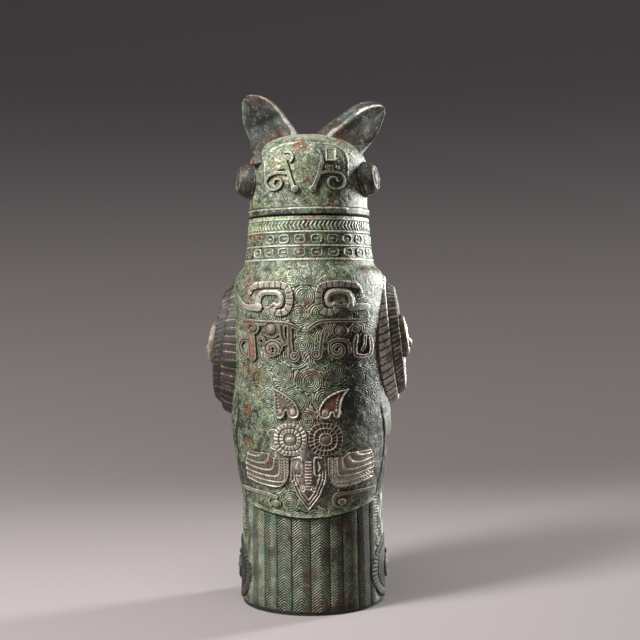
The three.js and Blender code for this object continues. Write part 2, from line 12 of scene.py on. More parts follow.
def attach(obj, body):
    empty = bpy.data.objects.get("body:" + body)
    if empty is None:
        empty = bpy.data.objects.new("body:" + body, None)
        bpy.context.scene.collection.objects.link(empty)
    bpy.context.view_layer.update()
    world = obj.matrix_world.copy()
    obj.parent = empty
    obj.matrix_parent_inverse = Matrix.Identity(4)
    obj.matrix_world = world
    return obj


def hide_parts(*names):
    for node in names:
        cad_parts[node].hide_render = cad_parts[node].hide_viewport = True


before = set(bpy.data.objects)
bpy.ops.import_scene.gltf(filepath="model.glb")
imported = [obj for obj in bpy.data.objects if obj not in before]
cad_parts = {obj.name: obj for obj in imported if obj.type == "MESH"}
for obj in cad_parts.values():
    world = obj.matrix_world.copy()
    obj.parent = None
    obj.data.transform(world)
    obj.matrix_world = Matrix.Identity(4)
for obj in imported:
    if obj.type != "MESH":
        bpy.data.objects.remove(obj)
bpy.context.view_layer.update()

bl_info = {
    "name": "Bronze owl vessel",
    "version": (1, 0, 0),
    "blender": (4, 5, 0),
    "location": "View3D > Sidebar > Owl vessel",
    "description": "Models the cast surface and patina of a lidded bronze owl vessel",
    "category": "Object",
}

MM = 0.001

# Levels and radii of the vessel, in millimetres, as its solids have them
MOUTH = 303.0
RIM = 303.4  # lower edge of the lid
WALL = 4.0
FLOOR_TOP = 89.0
FOOT_RADIUS = 56.0
ANKLE_RADIUS = 55.0
SKIRT = 75.0  # lowest point of the scalloped edge over the tail
SKIRT_RISE = 14.0
SKIRT_REACH = 65.2
BELLY_RADIUS = 61.2
BELLY = 150.0  # level of the widest part
SHOULDER = 246.0
COLLAR = 268.5
TONGUE_RADIUS = 42.4
TONGUE_WALL = 3.0
TONGUE_DEPTH = 14.0
HEAD_RADIUS = 46.6
CROWN = 369.4

# How the cast skin is made, in millimetres
SKIN = 1.3  # thickness of a skin over the plain casting under it
SUNK = 1.1  # how far the foot of a relief goes below the ground
EDGE = 0.6  # width of a relief's sloping edge
GRAIN = 0.34  # spacing of points on fine relief
SHELL = 0.7  # thickness of a relief's shell
SPIRAL_REACH = 34.0  # how far off a spiral still bends the ground's lines
SPIRAL_CORE = 7.0  # within this a line winds as one spiral
OUT_OF_REACH = 400.0

MERGE = 2e-6  # metres within which the points of a seam become one
NOISE_CELLS = 64
SIDES = ((-1, "left"), (1, "right"))


def linear(code):
    """A colour written as sRGB hex, in linear light."""
    parts = [int(code[i:i + 2], 16) / 255 for i in (1, 3, 5)]
    return tuple(c / 12.92 if c <= 0.04045 else ((c + 0.055) / 1.055) ** 2.4 for c in parts)


def smooth(t):
    """A share held from 0 to 1 and eased at both ends."""
    t = np.clip(t, 0, 1)
    return t * t * (3 - 2 * t)


def stripe(far, wide, full=1.3):
    """1 along a line and 0 from `full` widths away, given the distance across it."""
    return smooth(full - np.abs(far) / wide)


def curve(points, per_span=7):
    """Points of a smooth curve through the given ones."""
    p = np.asarray(points, float)
    p = np.vstack([p[:1], p, p[-1:]])
    t = np.linspace(0, 1, per_span, endpoint=False)[:, None]
    spans = []
    for a, b, c, d in zip(p, p[1:], p[2:], p[3:]):
        spans.append(b + t / 2 * (c - a + t * (2 * a - 5 * b + 4 * c - d + t * (3 * b - a - 3 * c + d))))
    return np.vstack(spans + [p[-1:]])


def spiral(x, z, outer, inner, start, turns):
    """Points of a spiral that winds in from a start bearing, in degrees."""
    t = np.linspace(0, 1, max(5, int(12 * abs(turns)) + 1))
    bearing = np.radians(start + 360 * turns * t)
    radius = outer + (inner - outer) * t
    return np.stack([x + radius * np.cos(bearing), z + radius * np.sin(bearing)], 1)


def cloud(x, y, size, seed, lap=None):
    """Soft random patches of about that size, from 0 to 1; over a lap they join end to end."""
    count = round(lap / size) if lap else NOISE_CELLS
    step = lap / count if lap else size
    table = np.random.default_rng(seed).random((count, NOISE_CELLS))
    ix, iy = np.floor(x / step).astype(int), np.floor(y / size).astype(int)
    fx, fy = smooth(x / step - ix), smooth(y / size - iy)

    def row(k):
        near, far = table[ix % count, k % NOISE_CELLS], table[(ix + 1) % count, k % NOISE_CELLS]
        return near * (1 - fx) + far * fx

    return row(iy) * (1 - fy) + row(iy + 1) * fy


def round_noise(bearing, up, radius):
    """Noise, given size and seed, that joins where it has gone once round a turned surface."""
    return partial(cloud, bearing * radius, up, lap=2 * np.pi * radius)


def spots(noise, limit, sharp=4):
    """The patches of a noise that pass a limit, from 0 to 1."""
    return smooth(sharp * (noise - limit))


def corrosion(noise, seed):
    """Grains and pits of a buried surface, about -1 to 1."""
    return 1.1 * noise(1.1, seed) + 0.9 * noise(3.2, seed + 1) - 1.0


class Turned:
    """A turned surface: radius, height and outward normal along its profile, in millimetres."""

    def __init__(self, profile):
        self.r, self.z = np.asarray(profile, float).T
        self.s = np.concatenate(([0], np.cumsum(np.hypot(np.diff(self.r), np.diff(self.z)))))
        along = np.stack([np.gradient(self.r, self.s), np.gradient(self.z, self.s)])
        along /= np.hypot(*along)
        self.out, self.up = along[1], -along[0]

    def length_to(self, z):
        """Length along the profile, up to a level."""
        return np.interp(z, self.z, self.s)

    def radius(self, z):
        return np.interp(z, self.z, self.r)

    def points(self, bearing, s, rise):
        """Points over the surface; a bearing is in radians from the middle of the owl's back."""
        r = np.interp(s, self.s, self.r) + rise * np.interp(s, self.s, self.out)
        z = np.interp(s, self.s, self.z) + rise * np.interp(s, self.s, self.up)
        return np.stack([r * np.sin(bearing), -r * np.cos(bearing), z], 1)


def crown_profile():
    """The head's outline, from the lid's rim to its crown."""
    t = np.linspace(0, 1, 40)[:, None]
    a, b, c, d = np.array([(HEAD_RADIUS, 341.4), (HEAD_RADIUS, 358.8), (28.9, CROWN), (0, CROWN)])
    dome = a * (1 - t) ** 3 + 3 * b * t * (1 - t) ** 2 + 3 * c * t * t * (1 - t) + d * t ** 3
    side = [(48.2, RIM), (48.2, 308.2), (47.9, 308.9),
            (46.7, 310.4), (HEAD_RADIUS, 312), (HEAD_RADIUS, 325)]
    return np.vstack([side, dome])


TRUNK = Turned(curve([(58.5, SKIRT), (BELLY_RADIUS, BELLY), (60, SHOULDER), (50.8, COLLAR),
                      (47, MOUTH)], 24))
HEAD = Turned(crown_profile())
FOOT = Turned([(FOOT_RADIUS, 0), (ANKLE_RADIUS, SKIRT), (ANKLE_RADIUS, 96)])


def scallop(bearing):
    """Level of the trunk's scalloped edge over the tail."""
    return SKIRT + SKIRT_RISE * (BELLY_RADIUS * np.sin(bearing) / SKIRT_REACH) ** 2


def across_back(bearing, radius):
    """How far aside a point of the back lies; those of the front are put out of a drawing's reach."""
    return radius * np.sin(bearing) + OUT_OF_REACH * (np.abs(bearing) > np.pi / 2)


class OwlSizes(bpy.types.PropertyGroup):
    """Sizes of the ornament and of the view."""

    ground_pitch: bpy.props.FloatProperty(
        name="Ground line pitch", description="Distance between the lines of the spiral ground",
        default=0.0015, min=0.001, unit="LENGTH")
    ground_cell: bpy.props.FloatProperty(
        name="Ground spiral width", description="Distance between the middles of the ground's spirals",
        default=0.0175, min=0.008, unit="LENGTH")
    ground_depth: bpy.props.FloatProperty(
        name="Ground depth", description="Depth of the cast lines of the ground",
        default=0.0005, min=0.0, unit="LENGTH")
    relief_rise: bpy.props.FloatProperty(
        name="Relief rise", description="How far dragons, masks and feathers stand over the ground",
        default=0.0019, min=0.0005, unit="LENGTH")
    barb_pitch: bpy.props.FloatProperty(
        name="Barb pitch", description="Distance between the barbs of the tail feathers",
        default=0.0021, min=0.001, unit="LENGTH")
    neck_rings: bpy.props.IntProperty(
        name="Neck rings", description="Rings in each row round the neck", default=24, min=6)
    wing_scales: bpy.props.IntProperty(
        name="Wing scales", description="Scales in the outer row of a wing", default=46, min=12)
    camera_distance: bpy.props.FloatProperty(
        name="Camera distance", description="From the camera to the vessel's axis",
        default=0.907, min=0.3, unit="LENGTH")
    camera_height: bpy.props.FloatProperty(
        name="Camera height", description="Above the floor", default=0.243, unit="LENGTH")
    camera_bearing: bpy.props.FloatProperty(
        name="Camera bearing", description="From the middle of the back towards the owl's right",
        default=math.radians(2.5), subtype="ANGLE")
    camera_roll: bpy.props.FloatProperty(
        name="Camera roll", description="Turn of the camera about its line of sight",
        default=math.radians(-0.74), subtype="ANGLE")
    lens: bpy.props.FloatProperty(
        name="Lens", description="Focal length on a sensor 36 mm wide", default=63.8, min=10, unit="CAMERA")


class OwlColours(bpy.types.PropertyGroup):
    """Colours of the patinas and of the stage."""

    # Groove: dark earth in the cast lines, and also the colour of painted shade that the builders put into
    # the relief tone
    groove: bpy.props.FloatVectorProperty(
        name="Groove", description="Dark earth left in the cast lines",
        default=linear("#10120d"), subtype="COLOR", min=0, max=1)
    green: bpy.props.FloatVectorProperty(
        name="Green patina", description="Olive grey-green patina of trunk and head",
        default=linear("#535c49"), subtype="COLOR", min=0, max=1)
    bright_green: bpy.props.FloatVectorProperty(
        name="Bright green patina", description="Fresher green patches",
        default=linear("#66733f"), subtype="COLOR", min=0, max=1)
    # Pale ridge: a mineral crust on the ridges, partly a painted highlight
    pale_green: bpy.props.FloatVectorProperty(
        name="Pale ridge", description="Pale mineral crust on the ridges of the green parts",
        default=linear("#bdc0aa"), subtype="COLOR", min=0, max=1)
    brown: bpy.props.FloatVectorProperty(
        name="Relief patina", description="Greyer, browner patina of the reliefs",
        default=linear("#545243"), subtype="COLOR", min=0, max=1)
    earth: bpy.props.FloatVectorProperty(
        name="Earth", description="Brown clouds that burial has left in the patina",
        default=linear("#55432f"), subtype="COLOR", min=0, max=1)
    dark: bpy.props.FloatVectorProperty(
        name="Dark patina", description="Blackish patina of ears and wings",
        default=linear("#272c27"), subtype="COLOR", min=0, max=1)
    # Worn metal: rubbed metal on the reliefs' raised parts, partly a painted highlight
    worn: bpy.props.FloatVectorProperty(
        name="Worn metal", description="Metal that handling has rubbed pale",
        default=linear("#b9b1a3"), subtype="COLOR", min=0, max=1)
    # Rubbed metal: bare ridges, partly a painted highlight on the ears' ridges and the right wing's scales
    rubbed: bpy.props.FloatVectorProperty(
        name="Rubbed metal", description="Bare ridges of ears, wings and beak",
        default=linear("#d8cdc2"), subtype="COLOR", min=0, max=1)
    rust: bpy.props.FloatVectorProperty(
        name="Red oxide", description="Red-brown copper oxide",
        default=linear("#6b3823"), subtype="COLOR", min=0, max=1)
    verdigris: bpy.props.FloatVectorProperty(
        name="Verdigris", description="Blue-green bloom",
        default=linear("#557f6f"), subtype="COLOR", min=0, max=1)
    floor: bpy.props.FloatVectorProperty(
        name="Floor", description="Pale floor of the stage",
        default=linear("#8e8685"), subtype="COLOR", min=0, max=1)
    distance: bpy.props.FloatVectorProperty(
        name="Far floor", description="Floor away from the vessel, and foot of the backdrop",
        default=linear("#8c8483"), subtype="COLOR", min=0, max=1)
    backdrop: bpy.props.FloatVectorProperty(
        name="Backdrop", description="Grey of the backdrop high up",
        default=linear("#514c4e"), subtype="COLOR", min=0, max=1)


# Finishes

def add_node(tree, kind, inputs=None, **settings):
    """Adds a node; an input given as a socket is linked, and any other value is set."""
    node = tree.nodes.new(kind)
    for name, value in settings.items():
        setattr(node, name, value)
    for name, value in (inputs or {}).items():
        if isinstance(value, bpy.types.NodeSocket):
            tree.links.new(value, node.inputs[name])
        else:
            node.inputs[name].default_value = value
    return node


def cast_bronze(name, ground, patch, ridge, metal, roughness, chalk):
    """Cast bronze under a mineral patina: dark in the lines, patchy between them, pale on the ridges."""
    if name in bpy.data.materials:
        return bpy.data.materials[name]
    colours = bpy.context.scene.owl_colours
    material = bpy.data.materials.new(name)
    material.use_nodes = True
    tree = material.node_tree
    tree.nodes.clear()
    place = add_node(tree, "ShaderNodeTexCoord").outputs["Object"]
    fields = {kind: add_node(tree, "ShaderNodeAttribute", attribute_name=kind).outputs["Fac"]
              for kind in ("relief", "rust", "bloom")}
    for kind, size, detail in (("clouds", 22, 9), ("blotches", 8, 7), ("crust", 2.4, 5), ("sand", 1.3, 2),
                               ("grit", 0.75, 3)):
        fields[kind] = add_node(tree, "ShaderNodeTexNoise", {
            "Vector": place, "Scale": 1 / (size * MM), "Detail": detail, "Roughness": 0.7}).outputs["Fac"]
    masks = {}  # each with its field, where it starts, where it is full, and its strength
    # The relief field is each builder's tone, which carries painted shade and painted highlights besides
    # the relief's height: the low mask paints the groove colour over earth in the lines and over painted
    # shade alike, and the worn mask paints the ridge colour over rubbed metal and over painted highlights
    # alike.
    for mask, field, low, high, top in (
            ("patchy", "clouds", 0.46, 0.62, 0.7), ("stained", "blotches", 0.52, 0.68, 0.6),
            ("specked", "crust", 0.56, 0.7, 0.55), ("flaking", "crust", 0.36, 0.58, 1.0),
            ("low", "relief", 0.46, 0.14, 0.94), ("high", "relief", 0.52, 0.86, 1.0),
            ("rubbed", "blotches", 0.3, 0.56, 0.86), ("pitted", "sand", 0.54, 0.66, 0.62),
            ("chalky", "sand", 0.46, 0.34, chalk), ("dusty", "crust", 0.48, 0.3, 0.35)):
        masks[mask] = add_node(tree, "ShaderNodeMapRange", {
            "Value": fields[field], "From Min": low, "From Max": high, "To Max": top},
            interpolation_type="SMOOTHSTEP").outputs["Result"]
    for mask, one, other in (("rusty", fields["rust"], masks["flaking"]),
                             ("bloomy", fields["bloom"], masks["flaking"]),
                             ("worn", masks["high"], masks["rubbed"])):
        masks[mask] = add_node(tree, "ShaderNodeMath", {0: one, 1: other}, operation="MULTIPLY").outputs[0]
    colour = (*ground, 1)  # each tint covers the ones before it
    for mask, tint in (("patchy", patch), ("stained", colours.earth), ("specked", colours.bright_green),
                       ("dusty", ridge), ("chalky", ridge), ("rusty", colours.rust),
                       ("bloomy", colours.verdigris), ("low", colours.groove), ("worn", ridge),
                       ("pitted", colours.groove)):
        colour = add_node(tree, "ShaderNodeMix", {0: masks[mask], 6: colour, 7: (*tint, 1)},
                          data_type="RGBA").outputs[2]
    height = add_node(tree, "ShaderNodeMath", {0: fields["crust"], 1: fields["grit"]}, operation="ADD")
    bump = add_node(tree, "ShaderNodeBump", {
        "Strength": 0.6, "Distance": 0.4 * MM, "Height": height.outputs[0]})
    metallic = add_node(tree, "ShaderNodeMapRange", {
        "Value": masks["worn"], "To Min": metal, "To Max": 0.5})
    rough = add_node(tree, "ShaderNodeMapRange", {
        "Value": masks["worn"], "To Min": roughness, "To Max": 0.38})
    shader = add_node(tree, "ShaderNodeBsdfPrincipled", {
        "Base Color": colour, "Metallic": metallic.outputs["Result"], "Roughness": rough.outputs["Result"],
        "Normal": bump.outputs["Normal"]})
    add_node(tree, "ShaderNodeOutputMaterial", {"Surface": shader.outputs["BSDF"]})
    return material


def green_patina():
    """Trunk and head: olive-green malachite skin with browner clouds, half matt, cream on the ridges."""
    colours = bpy.context.scene.owl_colours
    return cast_bronze("green_patina_cast_bronze", colours.green, colours.bright_green, colours.pale_green,
                       0.1, 0.5, 0.42)


def brown_patina():
    """Reliefs: brown cuprite skin, greened in patches, that shines softly where hands have rubbed it."""
    colours = bpy.context.scene.owl_colours
    return cast_bronze("brown_patina_cast_bronze", colours.brown, colours.green, colours.worn,
                       0.25, 0.5, 0.2)


def dark_patina():
    """Ears, wings and beak: blackish skin, a little more matt than the rest, with pale ridges, partly bare
    metal and partly a painted highlight.
    """
    colours = bpy.context.scene.owl_colours
    return cast_bronze("dark_patina_cast_bronze", colours.dark, colours.earth, colours.rubbed,
                       0.2, 0.58, 0.1)


FINISHES = {"green_bronze": green_patina, "brown_bronze": brown_patina, "dark_bronze": dark_patina}


# Meshes

def grid(columns, rows, place):
    """A grid whose points, relief, rust and bloom come from `place`, given shares across and up."""
    bm = bmesh.new()
    bmesh.ops.create_grid(bm, x_segments=columns, y_segments=rows, size=0.5)
    layers = [bm.verts.layers.float.new(name) for name in ("relief", "rust", "bloom")]
    share = np.array([v.co[:2] for v in bm.verts], float) + 0.5
    points, *values = place(share[:, 0], share[:, 1])
    values = [np.broadcast_to(v, len(share)).tolist() for v in values]
    for v, p, *tones in zip(bm.verts, (points * MM).tolist(), *values):
        v.co = p
        for layer, tone in zip(layers, tones):
            v[layer] = tone
    return bm


def even_tone(bm, relief):
    """Gives a plain mesh one height of relief all over, with no rust or bloom."""
    for name, value in (("relief", relief), ("rust", 0.0), ("bloom", 0.0)):
        layer = bm.verts.layers.float.new(name)
        for v in bm.verts:
            v[layer] = value
    return bm


def spun(profile, steps):
    """A surface of revolution about the vessel's axis, from radii and heights in metres."""
    bm = bmesh.new()
    verts = [bm.verts.new((r, 0, z)) for r, z in profile]
    edges = [bm.edges.new(pair) for pair in zip(verts, verts[1:])]
    bmesh.ops.spin(bm, geom=verts + edges, cent=(0, 0, 0), axis=(0, 0, 1), angle=2 * math.pi,
                   steps=steps, use_merge=True, use_duplicate=False)
    return bm


def weld(bm):
    """Merges seams and poles, drops what that leaves flat, and turns faces outwards."""
    bmesh.ops.remove_doubles(bm, verts=bm.verts[:], dist=MERGE)
    bmesh.ops.dissolve_degenerate(bm, edges=bm.edges[:], dist=1e-7)
    bmesh.ops.delete(bm, geom=[e for e in bm.edges if not e.link_faces], context="EDGES")
    bmesh.ops.delete(bm, geom=[v for v in bm.verts if not v.link_faces], context="VERTS")
    bmesh.ops.recalc_face_normals(bm, faces=bm.faces[:])


def turned_in(bm, edges):
    """Starts a strip of faces along sharp edges; gives back its new points and edges."""
    for e in edges:
        e.smooth = False
    made = bmesh.ops.extrude_edge_only(bm, edges=edges)["geom"]
    points = [g for g in made if isinstance(g, bmesh.types.BMVert)]
    return points, [g for g in made if isinstance(g, bmesh.types.BMEdge) and g.is_boundary]


def close_ring(bm, thickness):
    """Gives a round skin its thickness: both edges turn inwards, and one inner wall joins them."""
    bmesh.ops.remove_doubles(bm, verts=bm.verts[:], dist=MERGE)
    points, inner = turned_in(bm, [e for e in bm.edges if e.is_boundary])
    for v in points:
        shrink = 1 - thickness * MM / math.hypot(v.co.x, v.co.y)
        v.co.x *= shrink
        v.co.y *= shrink
    bmesh.ops.bridge_loops(bm, edges=inner)
    bmesh.ops.recalc_face_normals(bm, faces=bm.faces[:])
    return bm


def join(bm, other):
    """Adds another mesh to one, and frees it."""
    mesh = bpy.data.meshes.new("joined")
    other.to_mesh(mesh)
    other.free()
    bm.from_mesh(mesh)
    bpy.data.meshes.remove(mesh)


def keep_piece(name, bm, slot, body, *nodes):
    """Turns a finished mesh into an object that rides its body in place of its solids."""
    mesh = bpy.data.meshes.new(name)
    bm.to_mesh(mesh)
    bm.free()
    mesh.polygons.foreach_set("use_smooth", np.ones(len(mesh.polygons), bool))
    mesh.materials.append(FINISHES[slot]())
    piece = bpy.data.objects.new(name, mesh)
    bpy.context.scene.collection.objects.link(piece)
    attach(piece, body)
    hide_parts(*nodes)
    return piece


# Drawing in relief

class Drawing:
    """Cast drawing on a patch of surface: each point's rise over the ground, in mm, and its tones."""

    def __init__(self, x, z, start=-SUNK):
        self.x, self.z = x, z
        self.rise = np.full(x.shape, float(start))
        self.inside = np.full(x.shape, -9.0)
        self.tone = np.zeros(x.shape)
        self.cut = 0.0
        self.rust = np.zeros(x.shape)
        self.bloom = np.zeros(x.shape)

    def measure(self, line):
        """Distance to a line of points, the length along it, and its whole length."""
        best = np.full(self.x.shape, 1e9)
        along = np.zeros(self.x.shape)
        start = 0.0
        for (ax, az), (bx, bz) in zip(line[:-1], line[1:]):
            dx, dz = bx - ax, bz - az
            length = math.hypot(dx, dz)
            if length < 1e-9:
                continue
            t = np.clip(((self.x - ax) * dx + (self.z - az) * dz) / length ** 2, 0, 1)
            far = np.hypot(self.x - ax - t * dx, self.z - az - t * dz)
            nearer = far < best
            best = np.where(nearer, far, best)
            along = np.where(nearer, start + t * length, along)
            start += length
        return best, along, start

    def lift(self, inside, rise, crown=0.0):
        """Raises what lies inside an edge, given each point's distance within it."""
        level = -SUNK + (rise + SUNK) * smooth(0.5 + inside / EDGE)
        level = level + crown * smooth(inside / (3 * EDGE))
        self.rise = np.maximum(self.rise, level)
        self.inside = np.maximum(self.inside, inside)
        return self

    def band(self, points, wide, rise, end=None, crown=0.1, bent=True):
        """A raised band along a line, tapering to its end width."""
        far, along, length = self.measure(curve(points) if bent else np.asarray(points, float))
        half = (wide + ((end or wide) - wide) * along / length) / 2
        self.lift(half - far, rise, crown)
        return self.add(smooth(1.25 - far / 0.5), -self.cut) if self.cut else self

    def oval(self, x, z, wide, tall, rise, crown=0.4):
        """A raised oval, from its half sizes."""
        far = np.hypot((self.x - x) / wide, (self.z - z) / tall)
        return self.lift((1 - far) * min(wide, tall), rise, crown)

    def leaf(self, outline, rise):
        """A raised shape inside a closed outline; gives back each point's distance within it."""
        line = np.vstack([outline, outline[:1]])
        far = self.measure(line)[0]
        odd = np.zeros(self.x.shape, bool)
        for (ax, az), (bx, bz) in zip(line[:-1], line[1:]):
            if az != bz:
                cross = ax + (self.z - az) * (bx - ax) / (bz - az)
                odd ^= ((az > self.z) != (bz > self.z)) & (self.x < cross)
        inside = np.where(odd, far, -far)
        self.lift(inside, rise)
        return inside

    def add(self, mask, amount):
        """Raises or sinks by a share where there is already relief."""
        self.rise = self.rise + amount * mask * (self.rise > 0.2)
        self.tone = self.tone + np.sign(amount) * mask
        return self

    def line(self, points, wide, amount, bent=True):
        """A round ridge, or a groove if the amount is negative."""
        far = self.measure(curve(points) if bent else np.asarray(points, float))[0]
        return self.add(smooth(1.25 - far / (wide / 2)), amount)

    def dot(self, x, z, radius, amount):
        """A round knob, or a pit if the amount is negative."""
        return self.add(smooth(1.3 - np.hypot(self.x - x, self.z - z) / radius), amount)

    def beads(self, points, wide, pitch, amount):
        """A row of beads along a line."""
        far, along, length = self.measure(curve(points))
        step = length / max(1, round(length / pitch))
        beat = 0.5 - 0.5 * np.cos(2 * np.pi * along / step)
        return self.add(smooth(1.3 - far / (wide / 2)) * smooth(1.6 * beat - 0.2), amount)

    def stain(self, x, z, radius, kind="rust", strength=1.0):
        """A round patch of rust or bloom."""
        near = strength * smooth(1.4 - np.hypot(self.x - x, self.z - z) / radius)
        setattr(self, kind, np.maximum(getattr(self, kind), near))
        return self

    def relief(self):
        """How high each point looks, from 0 in a groove or at the foot to 1 on a raised edge, whose pale
        rim is partly wear and partly a painted highlight.
        """
        top = 0.54 * smooth((self.inside - 0.05) / EDGE)
        # pale rim just inside the edge: partly wear, partly a painted highlight
        rim = 0.24 * stripe(self.inside - 0.6, 0.4)
        return np.clip(top + rim + 0.4 * self.tone, 0, 1)


def relief_piece(name, surface, box, draw, slot, body, *nodes, middle=0.0, grain=GRAIN):
    """A relief in a box of (x, z) on a turned surface, drawn by `draw` and cut out along its foot."""
    x0, x1, z0, z1 = box
    drawn = {}

    def place(u, v):
        x, z = x0 + u * (x1 - x0), z0 + v * (z1 - z0)
        sheet = Drawing(x, z)
        draw(sheet)
        drawn["rise"] = sheet.rise
        bearing = middle + np.arcsin(np.clip(x / surface.radius(z), -1, 1))
        wear = 0.12 * (cloud(x, z, 2.3, 5) - 0.5)
        points = surface.points(bearing, surface.length_to(z), sheet.rise + wear)
        return points, sheet.relief(), sheet.rust, sheet.bloom

    bm = grid(round((x1 - x0) / grain), round((z1 - z0) / grain), place)
    low = drawn["rise"] <= 0.02 - SUNK
    bm.verts.index_update()
    deep = [f for f in bm.faces if all(low[v.index] for v in f.verts)]
    bmesh.ops.delete(bm, geom=deep, context="FACES")
    touching = [v for v in bm.verts if sum(e.is_boundary for e in v.link_edges) > 2]
    bmesh.ops.delete(bm, geom=list({f for v in touching for f in v.link_faces}), context="FACES")
    bmesh.ops.solidify(bm, geom=bm.faces[:], thickness=SHELL * MM)
    bmesh.ops.recalc_face_normals(bm, faces=bm.faces[:])
    return keep_piece(name, bm, slot, body, *nodes)


# Spiral ground

SEEN_SPIRALS = ((-1.7, 241.5), (-3, 204.9), (2.6, 177.3), (20.5, 185.4), (-20.8, 183.7), (-47.5, 182.3),
                (37.6, 178.7), (12.8, 163.8), (-30, 166), (36, 160))
GROUND_RADIUS = 61.0


def spiral_middles(low, high, cell, radius, seen, seed):
    """Middles of the ground's spirals: a shaken brick pattern with the seen ones put in."""
    rng = np.random.default_rng(seed)
    count = round(2 * np.pi * radius / cell)
    rows = np.arange(low - cell, high + cell, 0.88 * cell)
    middles = [((k + 0.5 * (i % 2)) / count * 2 * np.pi * radius, z)
               for i, z in enumerate(rows) for k in range(-count // 2, count - count // 2)]
    middles = np.array(middles) + rng.uniform(-0.16, 0.16, (len(middles), 2)) * cell
    for x, z in seen:
        here = np.array([math.asin(x / radius) * radius, z])
        middles[np.argmin(np.hypot(*(middles - here).T))] = here
    return middles, rng.integers(0, 2, len(middles)) * 2 - 1


def flowing_ground(bearing, z, middles, hands, radius, pitch, soft=0.7):
    """Height of a cast ground whose lines wind round their middles and flow between them, 0 to 1."""
    around = 2 * np.pi * radius
    total = np.full(z.shape, 1e-9)
    best = np.full(z.shape, 1e9)
    twist = np.zeros(z.shape)
    for (mu, mz), hand in zip(middles, hands):
        du = (bearing * radius - mu + around / 2) % around - around / 2
        dz = z - mz
        near = (np.abs(du) < SPIRAL_REACH) & (np.abs(dz) < SPIRAL_REACH)
        if not near.any():
            continue
        du, dz = du[near], dz[near]
        far = np.hypot(du, dz)
        total[near] += np.exp(-far / soft)
        nearer = far < best[near]
        best[near] = np.where(nearer, far, best[near])
        turn = hand * np.arctan2(dz, du) / (2 * np.pi) * smooth((SPIRAL_CORE - far) / 2.5)
        twist[near] = np.where(nearer, turn, twist[near])
    phase = -soft * np.log(total) / pitch - twist
    return smooth(0.42 + 0.8 * np.cos(2 * np.pi * phase))


def feather_scales(u, z, wide, tall):
    """Overlapping scale feathers: 0 where one goes under the next, 1 on its lower rim."""
    def one_row(row):
        across = 2 * ((u / wide + 0.5 * (row % 2)) % 1) - 1
        edge = 0.8 * (1 - np.sqrt(np.maximum(0, 1 - across ** 2)))
        return across, edge

    row = np.floor(z / tall)
    t = z / tall - row
    across, edge = one_row(row)
    below, edge_below = one_row(row - 1)
    own = t > edge
    run = np.where(own, t - edge, t + 1 - edge_below)
    across = np.where(own, across, below)
    rim = smooth(1 - run / 0.16)
    rib = stripe(across, 0.12, 1) * smooth(run / 0.3)
    return np.clip(0.85 - 0.5 * run + 0.3 * rim + 0.2 * rib, 0, 1)


def bearings(u):
    """Bearing of a share round the vessel: points lie closest together across the back."""
    u = np.where(u > 0.9999, 0, u)  # the last column lies on the first
    return np.radians(np.interp(u, (0, 0.05, 0.2, 0.8, 0.95, 1), (-180, -132, -84, 84, 132, 180)))


